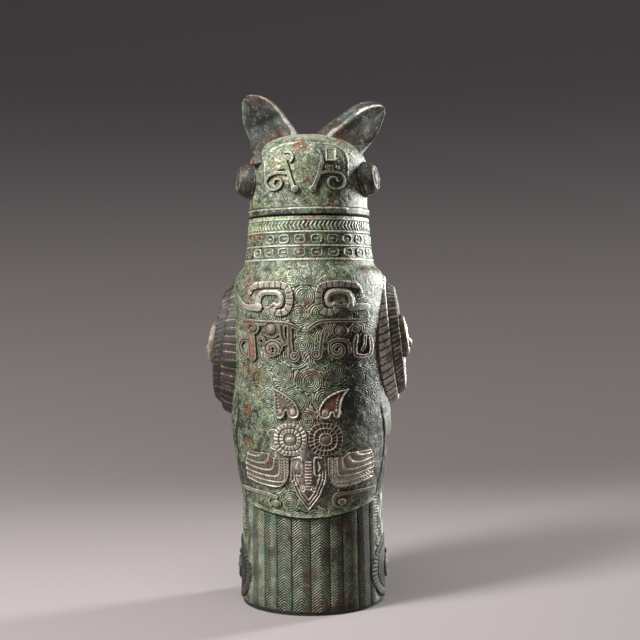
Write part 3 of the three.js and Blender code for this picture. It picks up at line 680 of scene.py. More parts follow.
class OWL_OT_trunk(bpy.types.Operator):
    """Builds the wall of the wine chamber and the spiral ground over the trunk"""

    bl_idname = "owl.trunk"
    bl_label = "Trunk"
    columns, row_height = 720, 0.45
    levels = (None, 114.0, 153.0, 192.0, 231.0, COLLAR)  # the lowest skin starts at the scalloped edge
    fine_from = 248.0  # level over which the ground has smaller spirals
    breast_from = 128.0  # degrees from the middle of the back
    feathers_round, feather_length = 30, 9.5

    def execute(self, context):
        sizes = context.scene.owl_sizes
        ground, depth = self.ground(sizes), sizes.ground_depth / MM
        for index, (low, high) in enumerate(zip(self.levels, self.levels[1:])):
            rows = round((high - (low or SKIRT)) / self.row_height)
            bm = close_ring(grid(self.columns, rows, partial(self.place, low, high, ground, depth)), SKIN)
            keep_piece(f"trunk_skin_{index + 1}", bm, "green_bronze", "vessel", "vessel_body")
        wall = spun(np.array(self.wall_profile()) * MM, 128)
        weld(wall)
        keep_piece("chamber_wall", even_tone(wall, 0.5), "green_bronze", "vessel", "vessel_body")
        return {"FINISHED"}

    def ground(self, sizes):
        """A function for the height of the cast lines at a bearing and level."""
        cell, pitch = sizes.ground_cell / MM, sizes.ground_pitch / MM
        broad = spiral_middles(SKIRT, COLLAR, cell, GROUND_RADIUS, SEEN_SPIRALS, 11)
        small = spiral_middles(236, COLLAR, 0.55 * cell, GROUND_RADIUS, (), 12)

        def lines(bearing, z):
            height = flowing_ground(bearing, z, *broad, GROUND_RADIUS, pitch)
            if z.max() < self.fine_from:
                return height
            fine = flowing_ground(bearing, z, *small, GROUND_RADIUS, 0.85 * pitch)
            return height + (0.8 * fine - height) * smooth((z - self.fine_from) / 6)

        return lines

    def place(self, low, high, ground, depth, u, v):
        bearing = bearings(u)
        turn = np.abs(np.degrees(bearing))
        x = BELLY_RADIUS * np.sin(bearing)
        edge = scallop(bearing)
        floor = edge if low is None else low
        z = floor + v * (high - floor)
        patches = round_noise(bearing, z, GROUND_RADIUS)
        dents = patches(9, 3) + 0.6 * patches(3.5, 4) - 0.8
        grains = corrosion(patches, 6)
        rotted, ditch = self.rotted(turn, z), self.thigh_ditch(turn, z)
        worn = (1 - 0.6 * spots(patches(16, 8), 0.62, 3)) * (1 - 0.65 * rotted)
        worn = worn * (1 - 0.45 * smooth((turn - 22) / 16))
        breast = smooth((turn - self.breast_from) / 6)
        feather_width = 2 * np.pi * GROUND_RADIUS / self.feathers_round
        plumage = feather_scales(bearing * GROUND_RADIUS, z, feather_width, self.feather_length)
        height = (1 - breast) * (0.3 * (1 - worn) + worn * ground(bearing, z)) + breast * plumage
        hem = smooth(1 - (z - edge) / (2.4 + 2.2 * patches(5, 29)))
        height = height * (1 - hem) + (0.5 + 0.6 * patches(4, 30)) * hem
        taper = 3.2 * smooth((118 - z) / 36) * smooth((turn - 46) / 24) * smooth((140 - turn) / 20)
        swell = smooth((turn - 54) / 24) * smooth((128 - turn) / 24) * np.exp(-((z - 142) / 19) ** 2)
        rise = depth * height * (1 + 0.8 * breast) + 0.3 * dents + 0.14 * grains - 0.9 * ditch - taper
        rise = rise + 2.4 * swell + 0.5 * rotted * (patches(5, 27) - 0.5)
        # Painted shade: darker in the hollow down each flank and over a patch right of the middle of the
        # back, with patchy darkening over the rotted lower flanks.
        shade = 0.22 * rotted * patches(7, 28) + 0.5 * ditch
        shade = shade + 0.32 * smooth(1.35 - np.hypot((x - 35) / 25, (z - 176) / 38))
        tone = np.clip(0.2 + 0.58 * height + 0.2 * dents + 0.36 * grains - shade, 0, 1)
        rust = spots(patches(13, 21), 0.64) + 0.8 * smooth(1 - np.hypot(x + 42, z - 184) / 14)
        bloom = 0.6 * spots(patches(10, 22), 0.76) + 0.4 * hem * patches(6, 23)
        return TRUNK.points(bearing, TRUNK.length_to(z), rise), tone, np.minimum(rust, 1), bloom

    @staticmethod
    def rotted(turn, z):
        """Lower flanks, where burial has eaten the lines into lumps."""
        return smooth((turn - 26) / 16) * smooth((172 - z) / 22)

    @staticmethod
    def thigh_ditch(turn, z):
        """The hollow that runs down each flank from under the wing and parts the thigh from the back."""
        edge = 64 + 5 * np.sin((z - 90) / 60 * np.pi)
        return stripe(turn - edge, 2.2, 1.2) * smooth((160 - z) / 12)

    @staticmethod
    def wall_profile():
        """Cross-section of the plain casting under the skin, from the chamber round to the foot."""
        below = FLOOR_TOP - 5
        inside = [(0, FLOOR_TOP), (50.5, FLOOR_TOP), (54.5, FLOOR_TOP + WALL), (57.2, BELLY),
                  (56, SHOULDER), (46.8, COLLAR),
                  (43, MOUTH - TONGUE_DEPTH), (43, MOUTH - 0.4), (43.4, MOUTH)]
        outside = [(46, MOUTH), (49.7, COLLAR), (59, SHOULDER), (60.2, BELLY), (58.6, 124), (55.4, 100),
                   (54, 88), (54, SKIRT), (55, 0.6), (54.4, 0), (52.4, 0), (52, 0.4), (51, below),
                   (0, below)]
        return inside + outside


class OWL_OT_neck(bpy.types.Operator):
    """Builds the neck: a plain lip, a band of chevrons and two rows of rings"""

    bl_idname = "owl.neck"
    bl_label = "Neck"
    columns, rows = 640, 88
    radius = 48.8
    chevrons, chevron_level, chevron_band = 94, 295.0, (291.4, 298.9)
    ring_levels, first_ring = (284.8, 274.6), math.radians(9.4)
    fillets = ((299.7, 0.6), (290.4, 0.8), (279.7, 0.7), (269.2, 1.0))  # level and half width
    lip_from, seam_from = 299.6, 302.0

    def execute(self, context):
        bm = grid(self.columns, self.rows, partial(self.place, context.scene.owl_sizes.neck_rings))
        keep_piece("neck_band", close_ring(bm, SKIN), "green_bronze", "vessel", "vessel_body")
        return {"FINISHED"}

    def place(self, rings, u, v):
        bearing = bearings(u)
        z = COLLAR + v * (MOUTH - COLLAR)
        patches = round_noise(bearing, z, self.radius)
        height = np.maximum(self.chevron_lines(bearing, z), self.ring_rows(bearing, z, rings, patches))
        for level, wide in self.fillets:
            height = np.maximum(height, stripe(z - level, wide, 1.35))
        lip = smooth((z - self.lip_from) / 0.8)
        height = np.maximum(height, 0.8 * lip)
        seam = smooth((z - self.seam_from) / 1.0)
        grains = corrosion(patches, 35)
        rise = 0.7 * height + 0.25 * (patches(7, 31) - 0.5) + 0.1 * grains - 1.3 * seam
        tone = np.clip(0.29 + 0.6 * height - 0.12 * lip + 0.3 * grains - 0.8 * seam, 0, 1)
        rust, bloom = spots(patches(8, 33), 0.58), spots(patches(9, 34), 0.7)
        return TRUNK.points(bearing, TRUNK.length_to(z), rise), tone, rust, bloom

    def chevron_lines(self, bearing, z):
        """Height of the band of chevrons."""
        pitch = 2 * np.pi * self.radius / self.chevrons
        slant = bearing * self.radius - 0.62 * np.abs(z - self.chevron_level)
        stroke = 0.5 + 0.5 * np.cos(2 * np.pi * slant / pitch)
        low, high = self.chevron_band
        in_band = smooth((z - low) / 0.8) * smooth((high - z) / 0.8)
        middle = stripe(z - self.chevron_level, 0.5, 1)
        return in_band * np.maximum(0.75 * smooth(1.5 * stroke - 0.3), 0.3 * middle)

    def ring_rows(self, bearing, z, count, patches):
        """Height of the rows of rings, each with a bar across its middle."""
        step = 2 * np.pi / count
        across = ((bearing - self.first_ring + step / 2) % step - step / 2) * self.radius
        wear = 0.5 + 0.5 * spots(patches(11, 36), 0.3)
        height = 0.0
        for level in self.ring_levels:
            up = z - level
            far = (np.abs(across / 4.5) ** 3 + np.abs((up - 0.2) / 3.5) ** 3) ** (1 / 3)
            ring = stripe(far - 0.86, 0.13, 1.25) * wear
            bar = stripe(across, 1.9) * stripe(up - 0.1, 0.6)
            height = np.maximum(height, np.maximum(ring, 0.8 * bar) * (np.abs(up) < 5))
        return height


class OWL_OT_tail(bpy.types.Operator):
    """Builds the foot drum, whose back is the owl's fan of tail feathers"""

    bl_idname = "owl.tail"
    bl_label = "Tail and foot"
    columns, row_height, skin = 660, 0.44, 1.2
    levels = (0.0, 46.0, 92.0)
    rust_spots = ((12, 50, 5), (34, 57, 6), (0, 34, 5), (27, 66, 6), (8, 6, 8), (-2, 24, 5), (36, 36, 6),
                  (22, 12, 7), (-34, 60, 5), (-12, 62, 4))  # place aside, level and radius
    green_spots = ((-20, 41, 4), (-30, 70, 5), (-22, 28, 4), (-36, 46, 4), (-14, 14, 5))
    feather_edges = (-66, -52.4, -38.3, -26.4, -14, 0.7, 15.7, 26.4, 40.3, 54.2, 66)  # degrees
    tail_to, strip_at = 63.0, 66.0  # degrees

    def execute(self, context):
        pitch = context.scene.owl_sizes.barb_pitch / MM
        ground = spiral_middles(0, self.levels[-1], 15, ANKLE_RADIUS, (), 14)
        for index, (low, high) in enumerate(zip(self.levels, self.levels[1:])):
            rows = round((high - low) / self.row_height)
            bm = grid(self.columns, rows, partial(self.place, low, high, pitch, ground))
            keep_piece(f"tail_feathers_{index + 1}", close_ring(bm, self.skin), "green_bronze", "vessel",
                       "vessel_body")
        return {"FINISHED"}

    def place(self, low, high, pitch, ground, u, v):
        bearing = bearings(u)
        turn = np.degrees(bearing)
        z = low + v * (high - low)
        patches = round_noise(bearing, z, ANKLE_RADIUS)
        barbs, swell = self.feather(turn, z, pitch, patches)
        lines = flowing_ground(bearing, z, *ground, ANKLE_RADIUS, 1.9)
        tail = smooth((self.tail_to - np.abs(turn)) / 3)
        hem = smooth((3.5 - z) / 2)
        strip = stripe(np.abs(turn) - self.strip_at, 3) * smooth((z - 50) / 8)
        studs = smooth(0.4 + np.cos(2 * np.pi * z / 2.4)) * strip
        height = (tail * barbs + (1 - tail) * 0.8 * lines) * (1 - 0.75 * hem) * (1 - strip) + 0.55 * studs
        dents, grains = patches(8, 43) - 0.5, corrosion(patches, 46)
        rise = 0.9 * height + tail * swell * (1 - hem) + 0.3 * dents + 0.12 * grains
        # Painted shade: a shadow under the trunk's scalloped hem, and a darkening over the tail that grows
        # towards the owl's right; also patchy darkening towards the bottom.
        under = smooth(1.2 - (scallop(bearing) - z) / 2.5)
        shade = 0.7 * under + (0.12 + 0.2 * smooth((turn - 2) / 26)) * tail
        shade = shade + 0.3 * smooth((12 - z) / 10) * patches(11, 47)
        tone = np.clip(0.92 * height + 0.2 * dents + 0.24 * grains - shade, 0, 1)
        sheet = Drawing(across_back(bearing, ANKLE_RADIUS), z)
        for spot in self.rust_spots:
            sheet.stain(*spot)
        for spot in self.green_spots:
            sheet.stain(*spot, "bloom")
        return FOOT.points(bearing, FOOT.length_to(z), rise), tone, sheet.rust, sheet.bloom

    def feather(self, turn, z, pitch, patches):
        """Height of the barbs, and swell of the feather that each point lies on."""
        edges = np.array(self.feather_edges)
        index = np.clip(np.searchsorted(edges, turn) - 1, 0, len(edges) - 2)
        wide = np.radians(edges[index + 1] - edges[index]) * ANKLE_RADIUS
        across = np.radians(turn - edges[index]) * ANKLE_RADIUS - wide / 2
        sway = 0.6 * (patches(14, 44) - 0.5)
        barb = smooth(0.38 + 0.75 * np.cos(2 * np.pi * (z + 0.8 * np.abs(across) + sway) / pitch))
        gap = smooth(1.2 - (wide / 2 - np.abs(across)) / 0.5)
        worn = 0.55 + 0.45 * spots(patches(15, 41), 0.12, 3)
        barbs = np.clip((0.15 * (1 - worn) + barb * worn) * (1 - 0.8 * gap), 0, 1)
        return barbs, 0.7 * np.sqrt(np.maximum(0, 1 - (2 * across / wide) ** 2))


class OWL_OT_lid(bpy.types.Operator):
    """Builds the owl's head: a hollow lid with a spiral ground and a tongue that enters the mouth"""

    bl_idname = "owl.lid"
    bl_label = "Lid"
    columns, rows = 400, 200
    pole_merge = 3e-6  # metres; the points lie closer together at the crown
    band_to, band_edge, band_step = 309.4, 308.3, 309.6
    frames = ([(-31.5, 330), (-31.5, 345), (-27.5, 353), (-18, 357.6), (-6, 359)],
              [(31.5, 330), (31.5, 346), (28, 353), (20, 357), (7, 358)])  # lines round the dragons

    def execute(self, context):
        sizes = context.scene.owl_sizes
        ground = spiral_middles(RIM, CROWN + 30, 9, HEAD_RADIUS, (), 17)
        bm = grid(self.columns, self.rows,
                  partial(self.place, ground, sizes.ground_pitch / MM, sizes.ground_depth / MM))
        bmesh.ops.remove_doubles(bm, verts=bm.verts[:], dist=self.pole_merge)
        self.line_inside(bm)
        keep_piece("lid_head", bm, "green_bronze", "lid", "lid_shell")
        return {"FINISHED"}

    def place(self, ground, pitch, depth, u, v):
        bearing = bearings(u)
        s = v * HEAD.s[-1]
        r, z = np.interp(s, HEAD.s, HEAD.r), np.interp(s, HEAD.s, HEAD.z)
        lines = flowing_ground(bearing, RIM + s, *ground, HEAD_RADIUS, 0.85 * pitch)
        band = smooth((self.band_to - z) / 1.0)
        height = 0.4 * lines * (1 - band) * smooth((r - 6) / 12)
        level = 0.5
        sheet = Drawing(across_back(bearing, r), z, start=level)
        for line in self.frames:
            sheet.line(line, 1.4, 0.6)
        patches = round_noise(bearing, s, HEAD_RADIUS)
        grains = corrosion(patches, 56)
        dents = patches(7, 51) + 0.6 * patches(3, 52) - 0.8
        step, edge = stripe(z - self.band_step, 0.6), stripe(z - self.band_edge, 0.6)
        seam = smooth((RIM + 0.9 - z) / 1.0)
        rise = depth * height + 0.3 * dents + 0.14 * grains + (sheet.rise - level)
        rise = (rise - 0.35 * step - 1.6 * seam) * smooth(r / 5)  # none at the crown, where the points meet
        marks = 0.65 * height + 0.25 * dents + 0.42 * grains + 0.3 * sheet.tone
        # Painted light from above: the top of the head is made paler.
        crown = 0.35 * smooth((z - 360) / 6)
        tone = np.clip(0.36 + marks - 0.06 * band - 0.5 * step + 0.5 * edge - 0.9 * seam + crown, 0, 1)
        bloom = 0.6 * spots(patches(8, 54), 0.7, 3) * (1 - band)
        return HEAD.points(bearing, s, rise), tone, spots(patches(9, 53), 0.62), bloom

    @staticmethod
    def line_inside(bm):
        """Turns the rim's edge inwards, down the tongue and up under the crown."""
        inside = TONGUE_RADIUS - TONGUE_WALL
        low = MOUTH - TONGUE_DEPTH
        path = [(TONGUE_RADIUS, RIM), (TONGUE_RADIUS, low), (inside, low), (inside, 341), (inside - 1, 350),
                (inside - 6, 357), (inside - 15, 362.5), (inside - 28, 365.4)]
        edges = [e for e in bm.edges if e.is_boundary]
        for r, z in path:
            points, edges = turned_in(bm, edges)
            for v in points:
                shrink = r * MM / math.hypot(v.co.x, v.co.y)
                v.co = (v.co.x * shrink, v.co.y * shrink, z * MM)
        bmesh.ops.holes_fill(bm, edges=edges, sides=0)
        bmesh.ops.recalc_face_normals(bm, faces=bm.faces[:])


# Applied castings

def loft(steps, sides, place):
    """A closed body swept along a path; `place` gives points for shares round and along it."""
    bm = grid(sides, steps, place)
    weld(bm)
    ends = [e for e in bm.edges if e.is_boundary]
    if ends:
        bmesh.ops.holes_fill(bm, edges=ends, sides=0)
        bmesh.ops.recalc_face_normals(bm, faces=bm.faces[:])
    if bm.calc_volume(signed=True) < 0:
        bmesh.ops.reverse_faces(bm, faces=bm.faces[:])
    return bm


def turned_by(points, matrix):
    """Points of a casting's own frame, put where a matrix says."""
    m = np.array(matrix)
    return points @ m[:3, :3].T + m[:3, 3]


def along_spine(spine, scale, v):
    """Place and direction, as two coordinates each, at a share along a curved spine."""
    line = curve(spine, 20) * scale
    run = np.gradient(line, axis=0)
    run /= np.hypot(*run.T)[:, None]
    at = np.linspace(0, 1, len(line))
    return [np.interp(v, at, column) for column in (*line.T, *run.T)]


class OWL_OT_ears(bpy.types.Operator):
    """Builds the two ear tufts: broad blades with a rolled inner edge"""

    bl_idname = "owl.ears"
    bl_label = "Ears"
    root = (26.0, 3.0, 360.9)
    spine = [(-0.14, -0.34), (0, 0), (0.25, 0.36), (0.5, 0.67), (0.75, 0.88), (1, 1.01)]
    reach, tall, wide, thick = 25.0, 38.0, 39.0, 15.0
    lean, twist = {-1: 0, 1: 18}, {-1: -24, 1: -16}  # degrees
    ridge_at = {-1: -0.8, 1: -0.42}  # share of the half width

    def execute(self, context):
        for side, label in SIDES:
            bm = loft(110, 120, lambda u, v: self.place(u, v, side))
            keep_piece(f"ear_tuft_{label}", bm, "dark_bronze", "lid", f"ear_{label}")
        return {"FINISHED"}

    def place(self, u, v, side):
        cx, cz, tx, tz = along_spine(self.spine, (self.reach, self.tall), v)
        turn = 2 * np.pi * u
        c, s = np.cos(turn), np.sin(turn)
        tip = np.sqrt(np.clip((1 - v) / 0.03, 0, 1))
        half = self.wide / 2 * (1.04 - 0.42 * v - 0.54 * v ** 5) * tip + 1e-4
        thick = self.thick / 2 * (1 - 0.62 * v) * tip
        back = smooth(0.5 - 4 * side * s)
        from_ridge = c - self.ridge_at[side]
        body = (0.45 + 0.55 * np.exp(-(from_ridge / 0.3) ** 2)) * np.abs(s) ** 0.7 * np.sign(s)
        along, across = 1.08 * half * c * (1 + 0.12 * (c < 0) * (side < 0)), thick * body
        twist = math.radians(side * self.twist[side])
        ct, st = math.cos(twist), math.sin(twist)
        along, across = along * ct - across * st, along * st + across * ct
        local = np.stack([side * (cx + along * tz), side * across, cz - along * tx], 1)
        pitted, blotched = partial(cloud, 20 * c, self.tall * v), partial(cloud, 22 * c, self.tall * v)
        dents = pitted(5, 61) - 0.5
        local[:, 1] += 0.3 * dents * np.clip(5 * s, -1, 1) * smooth((1 - v) * 8)
        local[:, 1] -= smooth((0.5 - v) / 0.5) * (19 + 9 * back * np.abs(s) ** 0.7)
        # A pale stripe along the ear's ridge: partly rubbed metal, partly a painted highlight.
        pale = np.exp(-(from_ridge / 0.12) ** 2) * (0.55 + 0.45 * cloud(14 * c, self.tall * v, 6, 62))
        rim = smooth((v - 0.9) / 0.1) + 0.4 * smooth((np.abs(c) - 0.93) / 0.07)
        tone = np.clip(0.26 + 0.72 * pale + 0.25 * rim + 0.3 * dents + 0.25 * corrosion(pitted, 66), 0, 1)
        rust = spots(blotched(8, 63), 0.5, 3) * (1 - pale)
        bevel = smooth(-from_ridge / 0.15) * smooth(0.6 + s * side)
        bloom = 0.4 * spots(blotched(6, 64), 0.66) * (1 - pale) + 0.15 * bevel * (side > 0) * back
        at = Matrix.Translation((side * self.root[0], *self.root[1:]))
        lean = Matrix.Rotation(math.radians(side * self.lean[side]), 4, "Y")
        return turned_by(local, at @ lean), tone, rust, bloom


class OWL_OT_eyes(bpy.types.Operator):
    """Builds the eye bosses on the sides of the head"""

    bl_idname = "owl.eyes"
    bl_label = "Eyes"
    bearing, height, tilt, out, seat = 74.0, 330.4, 8.0, 32.1, 13.9
    profile = [(0, -3.6), (13.8, -3.6), (14.2, -1), (14.0, 1.2), (13.5, 3), (12.9, 5), (12.1, 6.9),
               (11.1, 8.6), (10.1, 9.8), (9.2, 10.5), (8.5, 10.7), (7.9, 10.4), (7.3, 9.9), (6.2, 9.8),
               (5.2, 10.2), (4.2, 10.9), (2.8, 11.3), (1.4, 11.5), (0, 11.55)]  # radius and rise

    def execute(self, context):
        rings = curve(self.profile, 4)
        for side, label in SIDES:
            turn, tilt = math.radians(self.bearing) * side, math.radians(self.tilt)
            flat = Vector((math.sin(turn), -math.cos(turn), 0))
            axis = math.cos(tilt) * flat + Vector((0, 0, math.sin(tilt)))
            root = flat * self.out + Vector((0, 0, self.height)) + self.seat * axis
            frame_of = Matrix.Translation(root) @ axis.to_track_quat("Z", "Y").to_matrix().to_4x4()
            bm = loft(len(rings) - 1, 96, lambda u, v: self.place(u, v, side, rings, frame_of))
            keep_piece(f"eye_boss_{label}", bm, "dark_bronze", "lid", f"eye_{label}")
        return {"FINISHED"}

    def place(self, u, v, side, rings, frame_of):
        at = np.linspace(0, 1, len(rings))
        r, rise = np.interp(v, at, rings[:, 0]), np.interp(v, at, rings[:, 1])
        r = np.maximum(r, 0)  # the curve runs a little past the axis
        turn = 2 * np.pi * u
        flank = smooth((rise - 1.6) / 1.5) * smooth((10 - rise) / 1.5) * (r > 8)
        local = np.stack([r * np.cos(turn), r * np.sin(turn), rise], 1)
        points = turned_by(local, frame_of)
        rim = smooth((rise - 10.1) / 0.5) * (r > 7.8)
        collar = stripe(rise - 0.4, 0.6) * (r > 13)
        over = (points[:, 2] - self.height - 3) / 12
        # Painted highlight: a pale patch on the lower flank of the right eye boss.
        flank_highlight = smooth(1.5 * cloud(70 * u, 2 * rise, 6, 72) - 0.3) * flank * (over < 0.2) * (side > 0)
        grains = corrosion(partial(cloud, 80 * u, 2 * rise), 73)
        tone = np.clip(0.28 + 0.3 * rim + 0.35 * collar + 0.4 * flank_highlight + 0.2 * grains, 0, 1)
        rust = 0.7 * smooth(2.4 * over - 1.0) * flank * (side < 0)
        return points, tone, rust, 0.0


class OWL_OT_beak(bpy.types.Operator):
    """Builds the hooked beak on the owl's face"""

    bl_idname = "owl.beak"
    bl_label = "Beak"
    height = 339.4
    spine = [(-0.45, 0.2), (0.3, 0.13), (0.85, -0.17), (1, -0.53), (0.8, -0.87)]
    reach, drop, ridges = 13.0, 30.0, 11
    tall, wide, tip = 24, 21, 2  # across the root, and across the tip

    def execute(self, context):
        bm = loft(90, 72, self.place)
        keep_piece("beak_hook", bm, "dark_bronze", "lid", "beak")
        return {"FINISHED"}

    def place(self, u, v):
        cy, cz, ty, tz = along_spine(self.spine, (self.reach, self.drop), v)
        turn = 2 * np.pi * u
        close = np.sqrt(np.clip((1 - v) / 0.04, 0, 1))
        tall = (self.tall + (self.tip - self.tall) * v) / 2 * close
        wide = (self.wide + (self.tip - self.wide) * v) / 2 * close
        ridge = 0.5 + 0.5 * np.cos(2 * np.pi * v * self.ridges)
        keel = smooth(1 - np.abs(np.cos(turn) - 1) / 0.2)
        swell = 1 + 0.03 * ridge * smooth((0.75 - v) / 0.2) * (1 - keel) + 0.06 * keel
        along, across = tall * np.cos(turn) * swell, wide * np.sin(turn) * swell
        y, z = cy - along * tz, cz + along * ty
        points = np.stack([across, HEAD_RADIUS + y, self.height + z], 1)
        tone = np.clip(0.42 + 0.3 * ridge * (v < 0.75) + 0.4 * keel, 0, 1)
        return points, tone, spots(cloud(40 * u, 30 * v, 8, 81), 0.6), 0.0


class OWL_OT_wings(bpy.types.Operator):
    """Builds the wings: two stepped rows of scales round a flat field"""

    bl_idname = "owl.wings"
    bl_label = "Wings"
    seat, forward, turned, tilt = 58.0, 10.0, -4.0, 6.0
    heights = {-1: 201.5, 1: 206.0}
    half, squeeze = 53.0, 70 / 106
    grown, lifted = {-1: 1.08, 1: 1.0}, {-1: 2.0, 1: 0.0}
    steps = [(0, 12.7), (15.4, 12.5), (28.9, 12.1), (35.2, 12.8), (38, 14.0), (39.9, 14.3), (41.4, 13.4),
             (44.9, 7.4), (45.9, 6.3), (46.7, 6.6), (47.8, 6.3)]  # radius and rise, out to the outer row
    # Where field, crest, inner row, line, outer row and base end: shares of the points, and radii
    shares = (0, 0.14, 0.22, 0.48, 0.55, 0.92, 1.0)
    radii = (0, 35.2, 39.9, 45.1, 47.8, half, 0)

    @classmethod
    def frame_of(cls, side):
        turn = Matrix.Rotation(math.radians(cls.turned), 4, "Z")
        lean = Matrix.Rotation(math.radians(-side * cls.tilt), 4, "Y")
        return turn @ Matrix.Translation((side * cls.seat, cls.forward, cls.heights[side])) @ lean

    def execute(self, context):
        scales = context.scene.owl_sizes.wing_scales
        for side, label in SIDES:
            bm = loft(100, 380, lambda u, v: self.place(u, v, side, scales))
            keep_piece(f"wing_plate_{label}", bm, "dark_bronze", "vessel", f"wing_{label}")
        return {"FINISHED"}

    def even_turn(self, u):
        """Angle round the oval at a share of its length, from its top."""
        t = np.linspace(0, 2 * np.pi, 721)
        step = np.hypot(np.diff(np.cos(t)), self.squeeze * np.diff(np.sin(t)))
        far = np.concatenate(([0], np.cumsum(step)))
        return np.interp(u, far / far[-1], t)

    def place(self, u, v, side, scales):
        line = curve(self.steps, 10)
        _, field, crest, inner_row, fillet, outer_row, _ = self.shares
        rho = np.interp(v, self.shares, self.radii)
        down = np.clip((v - fillet) / (outer_row - fillet), 0, 1)
        turn = self.even_turn(u)
        frame_of = self.frame_of(side)
        wide = self.grown[side] * rho
        flat = np.stack([np.zeros_like(rho), wide * self.squeeze * np.sin(turn), wide * np.cos(turn)], 1)
        low = self.seat_depth(flat, side, frame_of)
        rise = np.interp(rho, line[:, 0], line[:, 1])
        hollow = np.abs(np.cos(turn)) ** 3 * smooth((rho - 14) / 26) * smooth((47 - rho) / 6)
        rise = rise * (1 - 0.08 * hollow)
        wall = 6.3 + 0.9 * np.sin(np.pi * down) + (np.minimum(low, 4.5) - 6.3) * down ** 1.6
        rise = np.where(v > fillet, wall, rise) + self.lifted[side] * (1 - down)
        rise = np.where(v >= outer_row, low, rise)

        tile = np.abs(2 * ((u * scales + 0.8 * down * (side > 0)) % 1) - 1)
        in_row = smooth(12 * (0.98 - down)) * smooth(9 * down) * (v > fillet)
        tiles = smooth(7 * (0.86 - tile)) * in_row
        gaps = smooth(7 * (tile - 0.8)) * in_row
        inner = np.clip((v - crest) / (inner_row - crest), 0, 1)
        slant = np.abs(2 * ((u * round(1.4 * scales) + side * 0.9 * inner) % 1) - 1)
        bars = smooth(5 * (0.84 - slant)) * smooth(8 * inner) * smooth(8 * (1 - inner))
        ridge = stripe(v - (inner_row + fillet) / 2, 0.03)
        ring = stripe(rho - 32.3, 0.9) * (v < crest)
        grit = cloud(flat[:, 1], flat[:, 2], 3, 91) - 0.5
        marks = 0.75 * tiles + 0.6 * bars + 0.5 * ridge - 0.5 * ring + 0.25 * grit
        rise = rise + np.where(v < outer_row, marks, 0)
        local = flat.copy()
        local[:, 0] = side * rise
        # Painted light from the right: the right wing's scales and the whole right wing are made paler.
        rows = np.where(side < 0, 0.35 * bars + 0.3 * tiles + 1.3 * gaps, 0.9 * bars + 1.9 * tiles)
        crown = stripe(v - crest, 0.03)
        tone = 0.08 + 0.14 * (side > 0) + 0.5 * rows + 0.75 * ridge + 0.6 * crown
        tone = np.clip(tone + 0.36 * (v < field) - 0.4 * ring + 0.3 * grit, 0, 1)
        red = 0.6 if side < 0 else 0.1
        rust = red * np.maximum(tiles, 0.6 * bars) * smooth(2.5 * cloud(flat[:, 1], flat[:, 2], 6, 92))
        bloom = 0.25 * (v < field) * spots(grit, -0.1, 3)
        return turned_by(local, frame_of), tone, rust, bloom

    def seat_depth(self, flat, side, frame_of):
        """Rise at which a point of the oval lies just inside the trunk's skin."""
        low, high = np.full(len(flat), -40.0), np.full(len(flat), 12.0)
        for _ in range(14):
            middle = (low + high) / 2
            probe = flat.copy()
            probe[:, 0] = side * middle
            world = turned_by(probe, frame_of)
            out = np.hypot(world[:, 0], world[:, 1]) > TRUNK.radius(world[:, 2]) - 1.6
            low, high = np.where(out, low, middle), np.where(out, middle, high)
        return low


class OWL_OT_wing_coils(bpy.types.Operator):
    """Builds the coiled snakes on the wings"""

    bl_idname = "owl.wing_coils"
    bl_label = "Wing coils"
    tall, rise, seat, turns = 42.0, 10.5, 12.3, 1.75
    rope = 0.105 * tall
    outward = {-1: 2.4, 1: -3.0}  # added to the seat

    def execute(self, context):
        for side, label in SIDES:
            bm = loft(330, 30, lambda u, v: self.snake(u, v, side))
            join(bm, self.disc(side))
            keep_piece(f"coiled_snake_{label}", bm, "brown_bronze", "vessel", f"wing_coil_{label}")
        return {"FINISHED"}

    def snake(self, u, v, side):
        t = np.clip((v - 0.02) / 0.96, 0, 1)
        bearing = np.pi / 2 + side * 2 * np.pi * self.turns * t
        radius = (self.tall / 2 - self.rope) * (1 - t) + 1.1 * self.rope * t
        head = np.exp(-((t - 0.93) / 0.06) ** 2)
        thick = self.rope * (0.5 + 0.5 * smooth(3 * t)) * (1 + 0.35 * head)
        thick = thick * np.sqrt(np.clip(v / 0.02, 0, 1)) * np.sqrt(np.clip((1 - v) / 0.03, 0, 1))
        turn = 2 * np.pi * u
        length = 95 * t
        diamonds = np.cos(2 * np.pi * length / 5) + np.cos(4 * turn)
        carve = 0.3 * smooth(0.5 + 0.8 * diamonds) * (1 - head)
        thick = thick + carve * (thick > 1)
        out, up = thick * np.cos(turn), thick * np.sin(turn)
        x = (radius + out) * np.cos(bearing)
        y = (radius + out) * np.sin(bearing)
        z = self.rise - self.rope + up + 1.5 * head
        eye = np.exp(-((t - 0.95) / 0.012) ** 2 - ((np.abs(turn - np.pi / 2) - 0.9) / 0.3) ** 2)
        z = z + 0.9 * eye
        # Painted light and shade: the snake's side that faces out from the wing is paler, its side against
        # the plate darker.
        tone = np.clip(0.3 + 0.5 * np.sin(turn) + 0.5 * carve, 0, 1)
        return self.on_wing(x, y, z, side), tone, 0.5 * smooth(2 * cloud(length, 5 * turn, 6, 95)), 0.0

    def disc(self, side):
        """The plate under the snake."""
        top = self.rise - 1.6 * self.rope
        rings = np.array([(0, 0.4), (21, 0.4), (21, 0.6), (20.4, top - 0.5), (19.8, top), (15, top),
                          (8, top), (0, top)])

        def place(u, v):
            at = np.linspace(0, 1, len(rings))
            r, z = np.interp(v, at, rings[:, 0]), np.interp(v, at, rings[:, 1])
            turn = 2 * np.pi * u
            return self.on_wing(r * np.cos(turn), r * np.sin(turn), z, side), 0.15, 0.3, 0.0

        return loft(28, 96, place)

    def on_wing(self, x, y, z, side):
        """From the coil's own plan, seen from outside, to its place on the wing."""
        wings = OWL_OT_wings
        out = z + self.seat + self.outward[side]
        local = np.stack([side * out, y * wings.squeeze, -side * x], 1)
        return turned_by(local, wings.frame_of(side))


